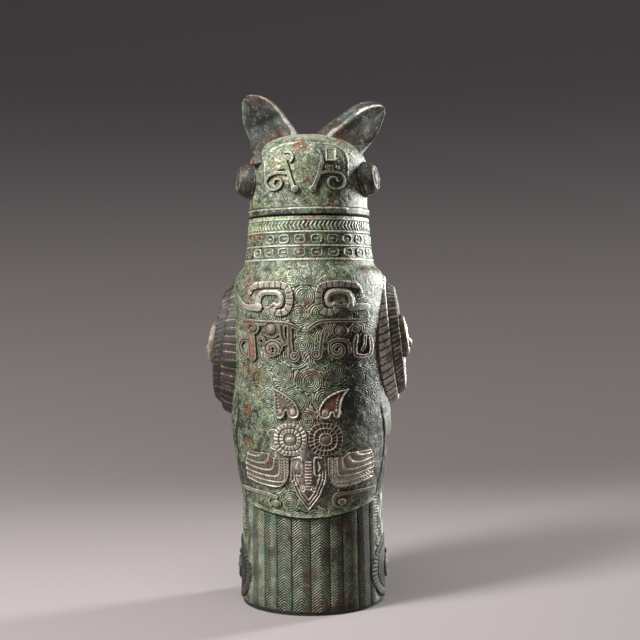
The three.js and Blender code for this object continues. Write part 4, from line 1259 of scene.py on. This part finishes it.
class OWL_OT_legs(bpy.types.Operator):
    """Builds the thighs: oval plates with a scaled border, and the coils on them"""

    bl_idname = "owl.legs"
    bl_label = "Legs"
    height, tall, deep = 26.5, 50.0, 66.0

    def execute(self, context):
        for side, label in SIDES:
            flank = side * math.pi / 2
            relief_piece(f"thigh_plate_{label}", FOOT, (-36, 36, 0.4, 53), self.plate,
                         "dark_bronze", "vessel", f"leg_{label}", middle=flank, grain=0.55)
            relief_piece(f"thigh_coil_{label}", FOOT, (-16, 16, 11, 42), lambda d: self.coil(d, side),
                         "brown_bronze", "vessel", f"leg_coil_{label}", middle=flank, grain=0.38)
        return {"FINISHED"}

    def plate(self, d):
        up = d.z - self.height
        inside = (1 - np.hypot(d.x / (self.deep / 2), up / (self.tall / 2))) * self.tall / 2
        d.lift(inside, 1.5, 0.2)
        turn = np.arctan2(d.x, up)
        d.add(stripe(inside - 3.4, 2.2, 1.6) * smooth(1.2 + 1.6 * np.cos(58 * turn)), 0.4)
        d.add(stripe(inside - 6.6, 0.6, 1.2), -0.6)
        swirl = np.cos(2 * np.pi * inside / 1.9 + turn)
        d.add(smooth(swirl) * (inside > 7.6), 0.3)
        d.tone = 0.9 * d.tone - 1.05

    def coil(self, d, side):
        far, along, _ = d.measure(spiral(0, self.height, 11, 3.8, 90, -side * 1.5))
        d.lift(2.1 - far, 3.0, 0.5)
        d.add(smooth(1.3 - far / 1.2) * smooth(1.2 * np.cos(2 * np.pi * along / 2.6)), 0.35)
        d.oval(0, self.height, 3.6, 3.6, 3.4, 0.6)
        d.dot(0, self.height, 1.3, 0.7)
        d.tone = d.tone - 0.6


class OWL_OT_feet(bpy.types.Operator):
    """Builds the clawed toes round the front of the foot"""

    bl_idname = "owl.feet"
    bl_label = "Feet"
    bearing, spread, radius, length = 150.0, 9.5, 5.5, 17.0

    def execute(self, context):
        for side, label in SIDES:
            bm = bmesh.new()
            for k in (-1, 0, 1):
                join(bm, loft(46, 40, lambda u, v: self.toe(u, v, side, k)))
            keep_piece(f"toes_{label}", bm, "dark_bronze", "vessel", f"foot_{label}")
        return {"FINISHED"}

    def toe(self, u, v, side, k):
        """A toe that runs down the foot ring to a pointed claw on the ground."""
        bearing = math.radians(self.bearing + k * self.spread) * side
        long = self.length + 2 if k == 0 else 0.85 * self.length + 2
        turn = 2 * np.pi * u
        claw = smooth((v - 0.72) / 0.28)
        girth = self.radius * np.sqrt(np.clip(1 - (2 * v - 1) ** 4, 0, 1))
        girth = girth * (0.86 + 0.14 * np.cos(6 * np.pi * v)) * (1 - 0.35 * claw)
        out = girth * np.cos(turn) * (0.42 - 0.12 * claw) + 0.6
        aside = girth * np.sin(turn) * 0.86
        z = np.maximum(long * (1 - v), 0.05)
        here = bearing + aside / FOOT_RADIUS
        r = FOOT_RADIUS + np.maximum(out, -1.5)
        points = np.stack([r * np.sin(here), -r * np.cos(here), z], 1)
        # Painted light and shade: each toe paler on its outer side and darker on the side against the foot.
        return points, np.clip(0.45 + 0.4 * np.cos(turn), 0, 1), 0.2, 0.0


# Reliefs on the owl's back, drawn for its right side

def back_dragon(d, side, rise):
    """A dragon in profile: jaws outward, body arched over and curled under."""
    d.x = side * d.x
    near = 0.0 if side < 0 else 3.0
    outer = [(38, 249.8), (30, 250), (20, 249.7), (14.4, 248), (12.2, 243), (12.4, 236), (14.6, 231),
             (19, 229.2), (23.4, 230.2), (25.8, 233.4)]
    inner = [(36.6, 233.5), (35.6, 240.5), (32, 244.3), (26, 244.9), (20.6, 243.9), (18.3, 240.2),
             (18.6, 236.5), (21.2, 234.4), (23.8, 235.6)]

    def slid(points):
        return [(x - near, z) for x, z in points]

    d.band(slid(outer), 6.2, rise, 5.4, 0.1)
    d.band(slid(inner), 5.2, 0.9 * rise, 4.2, 0.15)
    if side < 0:
        d.band(slid([(36, 233.4), (43.5, 233.4), (49, 236), (52, 241.2)]), 6.6, rise, 2.6)
    else:
        d.band(slid([(36, 233), (41, 233), (47, 233)]), 6.6, rise, 5.6)
    d.band(slid([(37, 249.6), (41, 248), (42.8, 244.2)]), 5.0, rise, 3.4)
    d.line(slid([(36, 247.2), (26, 247.3), (19, 247), (16.2, 244.6), (15.7, 239), (17, 233.6),
                 (22, 231.9)]), 1.5, -1.1)
    d.line(slid([(40, 249.9), (30, 252), (20, 251.8), (12.6, 249.6), (10.1, 243)]), 1.0, 0.25)
    d.line(slid(inner), 1.6, 0.35)
    far, along, _ = d.measure(curve(slid(outer)))
    d.add(stripe(along % 4.4 - 2.2, 0.5) * smooth(3 * (2.6 - far)), -0.45)
    d.dot(40.6 - near, 245.2, 1.5, -0.8)
    d.rust = 0.25 * cloud(d.x, d.z, 6, 97)
    # On the right dragon the added tone is painted light from the right.
    d.tone = d.tone + (0.4 if side < 0 else 0.25)
    if side > 0:
        d.stain(38, 233, 7, "bloom", 0.4).stain(15, 229.5, 5, "bloom", 0.4)


def back_mask_left(d, rise):
    """The left half of a beast mask."""
    d.x = -d.x
    d.cut = 0.4
    d.band([(47, 222.6), (34, 221.6), (20, 221.4), (12, 220), (6, 217)], 5.8, rise, 3.6)
    d.oval(41, 217.8, 6, 5.4, rise)
    d.line(spiral(41, 217.6, 4.0, 1.5, 150, 0.9), 1.2, -0.8, False)
    d.oval(26.5, 217, 5.6, 4.8, rise)
    d.line(spiral(26.5, 217, 4.4, 4.4, 0, 1), 1.0, -0.9, False)
    d.dot(26.5, 217, 2.5, 0.6)
    d.tone = d.tone - 0.8 * smooth(1.3 - np.hypot(d.x - 26.5, d.z - 217) / 2.5)
    d.band([(20, 215), (23, 212), (27, 211), (32, 213)], 2.6, 0.8 * rise, 1.8)
    d.band([(18.5, 219.5), (17.8, 212), (16, 207)], 6.0, rise, 3.9)
    d.line([(18.2, 219), (17.4, 212), (15.4, 207)], 1.2, -0.6)
    d.band([(12.4, 219), (12.4, 208), (11.6, 201)], 4.4, rise, 4.4)
    d.band(spiral(9, 196.6, 4.2, 1.2, 60, -1.35), 3.5, rise, 3.1, bent=False)
    d.band([(12, 201.5), (12.4, 199)], 3.9, rise)
    d.band([(15.6, 206), (18.5, 204.5), (20.5, 199)], 3.1, rise, 2.9)
    d.band(spiral(25.5, 202, 6.6, 1.8, 175, -1.6), 3.8, rise, 3.4, bent=False)
    d.band([(31.6, 204), (31.8, 209), (34.2, 210.6), (36.4, 208), (34.4, 205.8)], 3.1, rise, 2.6)
    d.band([(42, 213), (41.6, 204), (41.2, 196)], 6.2, rise, 7.0)
    d.line([(42, 212), (41.6, 204), (41.2, 197)], 1.6, 0.4)
    d.band([(44.6, 208.8), (49, 208.6), (51.6, 204), (50, 198.4), (45.6, 195.2)], 3.6, rise, 3.1)
    d.rust = 0.25
    d.stain(42, 203, 9).stain(41, 218, 5, strength=0.7).stain(25, 201, 7, strength=0.7)


def back_mask_right(d, rise):
    """The right half of the beast mask, which differs a little as cast."""
    d.cut = 0.4
    d.band([(2, 217), (8, 221.4), (16, 222.8), (30, 222.8), (44, 222.6)], 3.9, rise, 3.1)
    for k in range(3):
        d.band([(11 + 3.0 * k, 211.6 + 0.6 * k), (12.6 + 3.0 * k, 216), (15 + 2.8 * k, 220)], 2.5, rise)
    d.oval(24.4, 215.2, 6.4, 5.2, 0.8 * rise)
    d.line([(18.4, 211.5), (23, 209.9), (29.6, 211), (30.4, 219.6)], 1.5, 0.8)
    d.line(spiral(24.4, 215.2, 4.3, 4.3, 0, 1), 1.1, -0.8, False)
    d.dot(24.4, 215.2, 2.2, 0.6)
    d.tone = d.tone - 0.9 * smooth(1.3 - np.hypot(d.x - 24.4, d.z - 215.2) / 2.5)
    d.band(spiral(35.6, 216.4, 3.6, 1.0, 200, -1.3), 2.7, rise, bent=False)
    d.band([(34, 220), (40.4, 219.4), (41, 214.4)], 2.9, rise)
    d.band([(12.4, 213), (10.8, 206), (10.6, 201)], 4.2, rise)
    d.band(spiral(6.6, 198, 4.0, 1.2, 40, -1.3), 3.2, rise, 2.9, bent=False)
    d.band([(15.6, 213.4), (13.6, 209), (16.4, 206.6)], 2.9, rise)
    d.band(spiral(22.4, 201, 6.0, 1.7, 170, 1.55), 3.5, rise, 3.1, bent=False)
    d.band([(16.6, 201), (17.6, 207), (24, 208.4), (30, 206.6), (31.4, 199)], 3.1, rise)
    d.band([(36, 210.6), (34.8, 199), (38, 195.6), (45, 196), (47.2, 201), (46.4, 208.6)], 3.8, rise)
    d.band([(42.4, 210.4), (42, 204), (40.2, 200.4)], 3.1, rise)
    d.rust = 0.2
    d.stain(24, 203, 6, "rust", 0.6).stain(42, 203, 6)


class OWL_OT_back_reliefs(bpy.types.Operator):
    """Builds the dragons and the two halves of the mask on the owl's back"""

    bl_idname = "owl.back_reliefs"
    bl_label = "Dragons and mask"

    def execute(self, context):
        rise = context.scene.owl_sizes.relief_rise / MM
        for side, label in SIDES:
            box = (-56, -7, 224, 255) if side < 0 else (4, 50, 224, 255)
            relief_piece(f"dragon_{label}", TRUNK, box, lambda d: back_dragon(d, side, rise),
                         "brown_bronze", "vessel", f"back_dragon_{label}")
        for label, near, far, draw in (("left", -55, -2.5, back_mask_left),
                                       ("right", -1, 51, back_mask_right)):
            relief_piece(f"mask_{label}", TRUNK, (near, far, 190, 227), lambda d: draw(d, rise),
                         "brown_bronze", "vessel", f"back_mask_{label}")
        return {"FINISHED"}


EYE_LEVEL = 134.2
EYE_OUT = 12.9
EYE_RADIUS = 12.5


class OWL_OT_tail_owl(bpy.types.Operator):
    """Builds the small owl in flight over the tail: ears, ringed eyes, beak, wings and claws"""

    bl_idname = "owl.tail_owl"
    bl_label = "Tail owl"
    ear_left = [(26, 174), (20, 170.8), (13, 166.4), (8, 161), (5.8, 155.5), (7, 151), (11, 149.6),
                (14.4, 151.6), (15.7, 155.4), (16.8, 151.6), (20, 149.3), (23.4, 151), (24.4, 157),
                (24.9, 166)]
    ear_right = [(31, 171.8), (24.5, 171), (17, 168), (11, 163), (8, 156.4), (8.4, 151), (12.6, 149),
                 (16.4, 150.6), (17.8, 153.6), (19, 150.6), (21.8, 149.4), (24, 152), (24.6, 160),
                 (27, 166.4)]
    wing_lines = (0.3, 3.6, 7.2, 11, 14.7, 18.4)  # raised lines, from the wing's lower edge

    def execute(self, context):
        rise = context.scene.owl_sizes.relief_rise / MM
        for side, label, outline in ((-1, "left", self.ear_left), (1, "right", self.ear_right)):
            parts = (
                ("ear", 3.5, 34, 147, 177, lambda d: self.ear(d, side, outline, rise)),
                ("eye", -1, 27, 120, 148, lambda d: self.eye(d, side, rise)),
                ("wing", 12.5, 50, 95, 126, lambda d: self.wing(d, side, rise)),
                ("claw", 14, 54, 79, 99, lambda d: self.claw(d, side, rise)),
            )
            for part, near, far, low, high, draw in parts:
                box = (near, far, low, high) if side > 0 else (-far, -near, low, high)
                relief_piece(f"small_owl_{part}_{label}", TRUNK, box, draw, "brown_bronze", "vessel",
                             f"tail_owl_{part}_{label}", grain=0.3 if part == "eye" else GRAIN)
        relief_piece("small_owl_beak", TRUNK, (-16, 16, 77.5, 134.5), lambda d: self.beak(d, rise),
                     "dark_bronze", "vessel", "tail_owl_beak")
        return {"FINISHED"}

    def ear(self, d, side, outline, rise):
        d.x = side * d.x
        tip = outline[:1]
        inside = d.leaf(np.vstack([tip, curve(outline[1:], 5), tip]), 0.9 * rise)
        d.add(stripe(inside - 0.8, 0.7), 0.7)
        d.add(stripe(inside - 2.4, 0.6, 1.2), -0.5)
        lobes = ((11, 154, 3.9), (19.8, 153.2, 3.6)) if side < 0 else ((12.8, 153.2, 3.7), (21, 153.2, 3.2))
        for x, z, r in lobes:
            d.dot(x, z, r, 0.7)
            d.dot(x, z, 1.2, 0.3 - 0.8 * (side > 0))
        d.beads([(21.6, 155), (21.8, 162), (24, 169)], 2.0, 2.3, 0.45)
        d.beads([(9.4, 158.5), (13, 163.4), (19, 167.6), (23.5, 170.5)], 1.9, 2.6, 0.4)
        d.rust = np.where(inside > 2.2, 1.0, 0.3) * (0.4 if side < 0 else 1.0)

    def eye(self, d, side, rise):
        x, z = side * d.x - EYE_OUT, d.z - EYE_LEVEL
        far, turn = (np.abs(x) ** 2.5 + np.abs(z) ** 2.5) ** 0.4, np.arctan2(z, x)
        d.lift(EYE_RADIUS - far, rise, 0.2)
        for low, high, count in ((4.8, 8.0, 17), (8.7, 12.0, 24)):
            row = stripe(far - (low + high) / 2, (high - low) / 2, 1.5)
            d.add(row * smooth(0.75 + 1.4 * np.cos(count * turn)), 0.6 if side < 0 else -0.5)
        for ring in (4.4, 8.35):
            d.add(stripe(far - ring, 0.5, 1.2), -0.5 if side < 0 else 0.5)
        knob = np.hypot(x / 3.4, (z + 0.3) / 2.5)
        d.add(smooth(1.3 - knob), 0.8)
        d.tone = d.tone - (0.5 if side < 0 else 1.1) * smooth(1.3 - knob)
        d.add(stripe(far - 12.3, 0.5, 1.2), 0.3)
        d.tone = d.tone + 0.2 * (side < 0)
        d.rust = 0.15 + 0.35 * (side > 0)

    def wing(self, d, side, rise):
        d.x = side * d.x
        low_edge = curve([(14.2, 120.5), (14.8, 106.5), (20.6, 98.4), (33, 98.6), (46.4, 102.6)], 9)
        tip = curve([(46.4, 102.6), (48, 113), (46.2, 124)], 5)
        inside = d.leaf(np.vstack([low_edge, tip, [(29, 123.4), (25.5, 120.2)]]), 0.75 * rise)
        along = d.measure(low_edge)[1]
        from_beak = np.maximum(d.x - 14.0, 0.05)
        from_hem = np.maximum(d.z - 98.2 - 0.006 * np.maximum(d.x - 20, 0) ** 2, 0.05)
        far = (from_beak ** -4.0 + from_hem ** -4.0) ** -0.25
        near_eye = np.hypot(d.x - EYE_OUT, d.z - EYE_LEVEL) < EYE_RADIUS + 0.7
        d.rise = np.where(near_eye, -SUNK, d.rise)
        for start in self.wing_lines:
            line = stripe(far - start, 0.6)
            d.add(line, 0.55)
            d.tone = d.tone + 0.4 * line
        strokes = smooth(0.3 + 1.3 * np.cos(2 * np.pi * (along + 0.5 * far) / 2.1))
        d.add(strokes * (far < 7) * stripe(far % 3.6 - 1.95, 1.2), 0.5)
        d.add(stripe(inside - 0.4, 0.5, 1.2), 0.4)
        # On the right wing the raised tone is painted light from the right.
        d.tone = d.tone + (-0.5 if side < 0 else 0.35) * (inside > 0)
        d.rust = 0.2 + 0.5 * smooth((24 - d.x) / 5) * smooth((108 - d.z) / 6)
        d.stain(30, 117, 5, strength=0.8 if side < 0 else 0.2)

    def claw(self, d, side, rise):
        d.x = side * d.x
        if side < 0:
            d.band([(50.5, 95), (42, 93.6), (32, 92.2), (24.5, 90)], 3.4, 0.8 * rise, 3.8)
            d.oval(24.4, 85.4, 4.2, 3.2, rise, 0.6)
            d.line(spiral(24.4, 85.4, 3.0, 3.0, 0, 1), 0.9, -0.5, False)
            d.band([(28.5, 90.6), (30.4, 86.6), (28.8, 83)], 2.2, 0.6 * rise)
            d.tone = d.tone + 0.3
        else:
            d.band([(48, 94), (34, 93), (21, 92.6)], 3.2, 0.8 * rise)
            d.band([(20.6, 92.4), (18, 89), (18.6, 84.4), (22, 82.6)], 3.4, rise, 2.4)
            d.oval(24, 86.4, 3.4, 2.8, rise, 0.5)
            d.stain(19, 87, 4)

    def beak(self, d, rise):
        half = [(2, 133), (12.6, 121.8), (13.5, 112), (13.1, 103.4), (8.2, 91.2), (0, 80.4)]
        outline = [(-x, z) for x, z in half[:-1]][::-1] + half
        inside = d.leaf(np.array(outline[::-1]), rise)
        for side in (-1, 1):
            near = np.hypot(d.x - side * EYE_OUT, d.z - EYE_LEVEL) < EYE_RADIUS + 0.7
            d.rise = np.where(near, -SUNK, d.rise)
        keel = stripe(d.x, 9, 1) * smooth((d.z - 82) / 16)
        d.rise = d.rise + 1.3 * keel * (d.rise > 0.3)
        lower = smooth((112 - d.z) / 6)
        for edge in (0.7, 2.9, 5.0):
            d.add(stripe(inside - edge, 0.7, 1.25) * lower, 0.45)
        for edge in (1.8, 4.0):
            d.add(stripe(inside - edge, 0.6, 1.25) * lower, -0.45)
        for side in (-1, 1):
            hook = [(9.6, 120.6), (5, 120.4), (4.4, 114), (5.2, 107.6), (9.4, 107.2)]
            d.line([(side * x, z) for x, z in hook], 1.5, 0.7)
            d.line([(side * x, z) for x, z in ((7.4, 117), (8.6, 113.6), (7.4, 110.6))], 1.3, 0.5)
            d.line(spiral(side * 9.6, 102.4, 3.2, 0.8, 90, side * 1.4), 1.3, 0.7, False)
            d.line(spiral(side * 4.6, 97, 2.6, 0.8, 90, side * 1.2), 1.1, 0.5, False)
        for z in np.arange(97, 119, 2.3):
            d.line([(-1.8, z), (2.2, z)], 1.1, 0.4, False)
        # Painted light: the beak's left half, towards the key lamp, is made paler.
        d.tone = d.tone + 0.3 * smooth(-d.x / 6) * (inside > 0.6)
        d.rust = 0.1 + 0.4 * smooth(1.4 - np.hypot(d.x / 3.2, (d.z - 108) / 11))


class OWL_OT_head_dragons(bpy.types.Operator):
    """Builds the trunked dragons on the back of the head"""

    bl_idname = "owl.head_dragons"
    bl_label = "Head dragons"

    def execute(self, context):
        rise = context.scene.owl_sizes.relief_rise / MM
        for label, near, far, draw in (("left", -34, -2.5, self.left), ("right", 2, 33, self.right)):
            relief_piece(f"head_relief_{label}", HEAD, (near, far, 317, 356), lambda d: draw(d, rise),
                         "green_bronze", "lid", f"head_dragon_{label}")
        return {"FINISHED"}

    def left(self, d, rise):
        d.x = -d.x
        d.band([(15.4, 343.5), (13, 337), (11, 330), (8.8, 324.6)], 4.2, rise, 3.4)
        d.oval(7.8, 322.8, 3.2, 3.0, rise, 0.7)
        d.band([(14.4, 340.4), (19, 339.6), (23.4, 338)], 4.8, rise, 4.0)
        d.dot(19.4, 339.6, 1.7, 0.6)
        d.band([(15, 334.8), (21, 335.6), (27.6, 333.4), (30, 328.6), (27, 323.6), (21.6, 323), (18, 326.4),
                (19, 330.2), (22.6, 330.6), (23.8, 328)], 3.0, rise, 2.0)
        d.band([(15.2, 350.6), (11.4, 350.4), (9.2, 347), (11, 343.4)], 2.2, 0.8 * rise)
        d.line([(14.6, 342), (12.4, 336), (10.4, 330), (8.4, 325)], 1.2, 0.35)
        d.rust = 0.1

    def right(self, d, rise):
        d.band([(12, 342), (10.4, 335), (8, 328.4), (6, 324.4)], 4.0, rise, 3.6)
        d.oval(5.4, 322.6, 3.2, 3.0, rise, 0.7)
        corners = [(15, 343.4), (22.6, 343.4), (22.6, 353), (15, 353)]
        inside = d.leaf(np.array(corners, float), 0.8 * rise)
        d.add(stripe(inside - 0.6, 0.7), 0.5)
        d.tone = d.tone + 0.7 * (inside > 0.6)
        d.oval(17.4, 338.6, 3.4, 3.2, rise, 0.3)
        d.line(spiral(17.4, 338.6, 2.2, 2.2, 0, 1), 0.9, -0.6, False)
        d.oval(23.6, 338.8, 1.9, 1.9, 0.9 * rise, 0.3)
        d.band([(12, 334.6), (18, 335.6), (25.4, 334.4), (28.6, 329.6), (26.6, 324.4), (21.4, 322.6),
                (17, 325.6), (17.6, 330.4), (21.6, 331.6), (23.4, 328.6)], 2.8, rise, 2.0)
        d.band([(12.6, 342), (12, 348), (9.4, 352)], 3.0, 0.8 * rise, 2.0)
        d.rust = 0.1
        d.stain(17.4, 338.6, 4)


class OWL_OT_stage(bpy.types.Operator):
    """Builds the floor, backdrop, lights and camera"""

    bl_idname = "owl.stage"
    bl_label = "Stage"

    def execute(self, context):
        sizes, colours = context.scene.owl_sizes, context.scene.owl_colours
        self.sweep(colours)
        lamps = (
            ("key", (-0.72, -0.54, 0.95), (0.26, 0.56), 29, (0, 0, 0.3), 180),
            ("edge", (0.98, 0.6, 0.5), (0.2, 0.7), 5.0, (0, 0, 0.32), 62),
            ("top", (0.0, -0.3, 1.5), (0.6, 0.6), 7, (0, 0, 0.1), 180),
        )  # name, place, size, watts, aim and spread in degrees
        for name, place, (wide, tall), power, aim, spread in lamps:
            light = bpy.data.lights.new(name, "AREA")
            light.shape, light.size, light.size_y, light.energy = "RECTANGLE", wide, tall, power
            light.spread = math.radians(spread)
            lamp = bpy.data.objects.new(name, light)
            lamp.location = place
            lamp.rotation_euler = (Vector(aim) - Vector(place)).to_track_quat("-Z", "Y").to_euler()
            context.scene.collection.objects.link(lamp)
        world = bpy.data.worlds.new("studio")
        world.use_nodes = True
        background = world.node_tree.nodes["Background"].inputs
        background["Color"].default_value = (*colours.backdrop, 1)
        background["Strength"].default_value = 0.12
        context.scene.world = world
        self.camera(context, sizes)
        context.scene.view_settings.view_transform = "Standard"
        return {"FINISHED"}

    def sweep(self, colours):
        """A round floor that curves up into the backdrop."""
        flat, bend, high = 0.55, 1.2, 3.0
        turn = np.linspace(0, math.pi / 2, 24)
        rise = [(flat + bend * math.sin(t), bend * (1 - math.cos(t))) for t in turn]
        bm = spun([(0, 0), *rise, (flat + bend, high)], 96)
        bmesh.ops.remove_doubles(bm, verts=bm.verts[:], dist=1e-5)
        mesh = bpy.data.meshes.new("sweep")
        bm.to_mesh(mesh)
        bm.free()
        mesh.polygons.foreach_set("use_smooth", np.ones(len(mesh.polygons), bool))
        mesh.materials.append(self.paint(colours))
        sweep = bpy.data.objects.new("sweep", mesh)
        bpy.context.scene.collection.objects.link(sweep)

    @staticmethod
    def paint(colours):
        """Matt paint, darker up the backdrop, with a faint painted pool of light on the floor round the
        vessel.
        """
        material = bpy.data.materials.new("painted_sweep")
        material.use_nodes = True
        tree = material.node_tree
        tree.nodes.clear()
        place = add_node(tree, "ShaderNodeTexCoord").outputs["Object"]
        level = add_node(tree, "ShaderNodeSeparateXYZ", {0: place}).outputs["Z"]
        reach = add_node(tree, "ShaderNodeVectorMath", {0: place}, operation="LENGTH").outputs["Value"]
        paint = (*colours.floor, 1)
        # From the floor colour round the vessel to the far floor colour: a faint painted pool of light;
        # then up to the backdrop's grey with height.
        for along, start, end, tint in ((reach, 0.12, 0.5, colours.distance),
                                        (level, 0.0, 0.75, colours.backdrop)):
            share = add_node(tree, "ShaderNodeMapRange", {
                "Value": along, "From Min": start, "From Max": end},
                interpolation_type="SMOOTHSTEP").outputs["Result"]
            mixed = add_node(tree, "ShaderNodeMix", {0: share, 6: paint, 7: (*tint, 1)}, data_type="RGBA")
            paint = mixed.outputs[2]
        shader = add_node(tree, "ShaderNodeBsdfPrincipled", {"Base Color": paint, "Roughness": 0.85})
        add_node(tree, "ShaderNodeOutputMaterial", {"Surface": shader.outputs["BSDF"]})
        return material

    @staticmethod
    def camera(context, sizes):
        data = bpy.data.cameras.new("camera")
        data.lens = sizes.lens
        camera = bpy.data.objects.new("camera", data)
        camera.location = (sizes.camera_distance * math.sin(sizes.camera_bearing),
                           -sizes.camera_distance * math.cos(sizes.camera_bearing), sizes.camera_height)
        aim = Vector((0.008, 0, 0.2222))
        look = (aim - camera.location).to_track_quat("-Z", "Y").to_matrix()
        camera.rotation_euler = (look @ Matrix.Rotation(sizes.camera_roll, 3, "Z")).to_euler()
        context.scene.collection.objects.link(camera)
        context.scene.camera = camera


STEPS = (OWL_OT_stage, OWL_OT_trunk, OWL_OT_neck, OWL_OT_tail, OWL_OT_lid, OWL_OT_ears, OWL_OT_eyes,
         OWL_OT_beak, OWL_OT_wings, OWL_OT_wing_coils, OWL_OT_legs, OWL_OT_feet, OWL_OT_back_reliefs,
         OWL_OT_tail_owl, OWL_OT_head_dragons)


class OWL_PT_vessel(bpy.types.Panel):
    """Lists the steps that build the vessel"""

    bl_idname = "OWL_PT_vessel"
    bl_label = "Bronze owl vessel"
    bl_space_type = "VIEW_3D"
    bl_region_type = "UI"
    bl_category = "Owl vessel"

    def draw(self, context):
        for step in STEPS:
            self.layout.operator(step.bl_idname)
        for group in (context.scene.owl_sizes, context.scene.owl_colours):
            for name in group.__annotations__:
                self.layout.prop(group, name)


CLASSES = (OwlSizes, OwlColours, *STEPS, OWL_PT_vessel)


def register():
    for cls in CLASSES:
        bpy.utils.register_class(cls)
    bpy.types.Scene.owl_sizes = bpy.props.PointerProperty(type=OwlSizes)
    bpy.types.Scene.owl_colours = bpy.props.PointerProperty(type=OwlColours)


def unregister():
    del bpy.types.Scene.owl_colours
    del bpy.types.Scene.owl_sizes
    for cls in reversed(CLASSES):
        bpy.utils.unregister_class(cls)


def main():
    register()
    for step in STEPS:
        group, name = step.bl_idname.split(".")
        getattr(getattr(bpy.ops, group), name)()


if __name__ == "__main__":
    main()
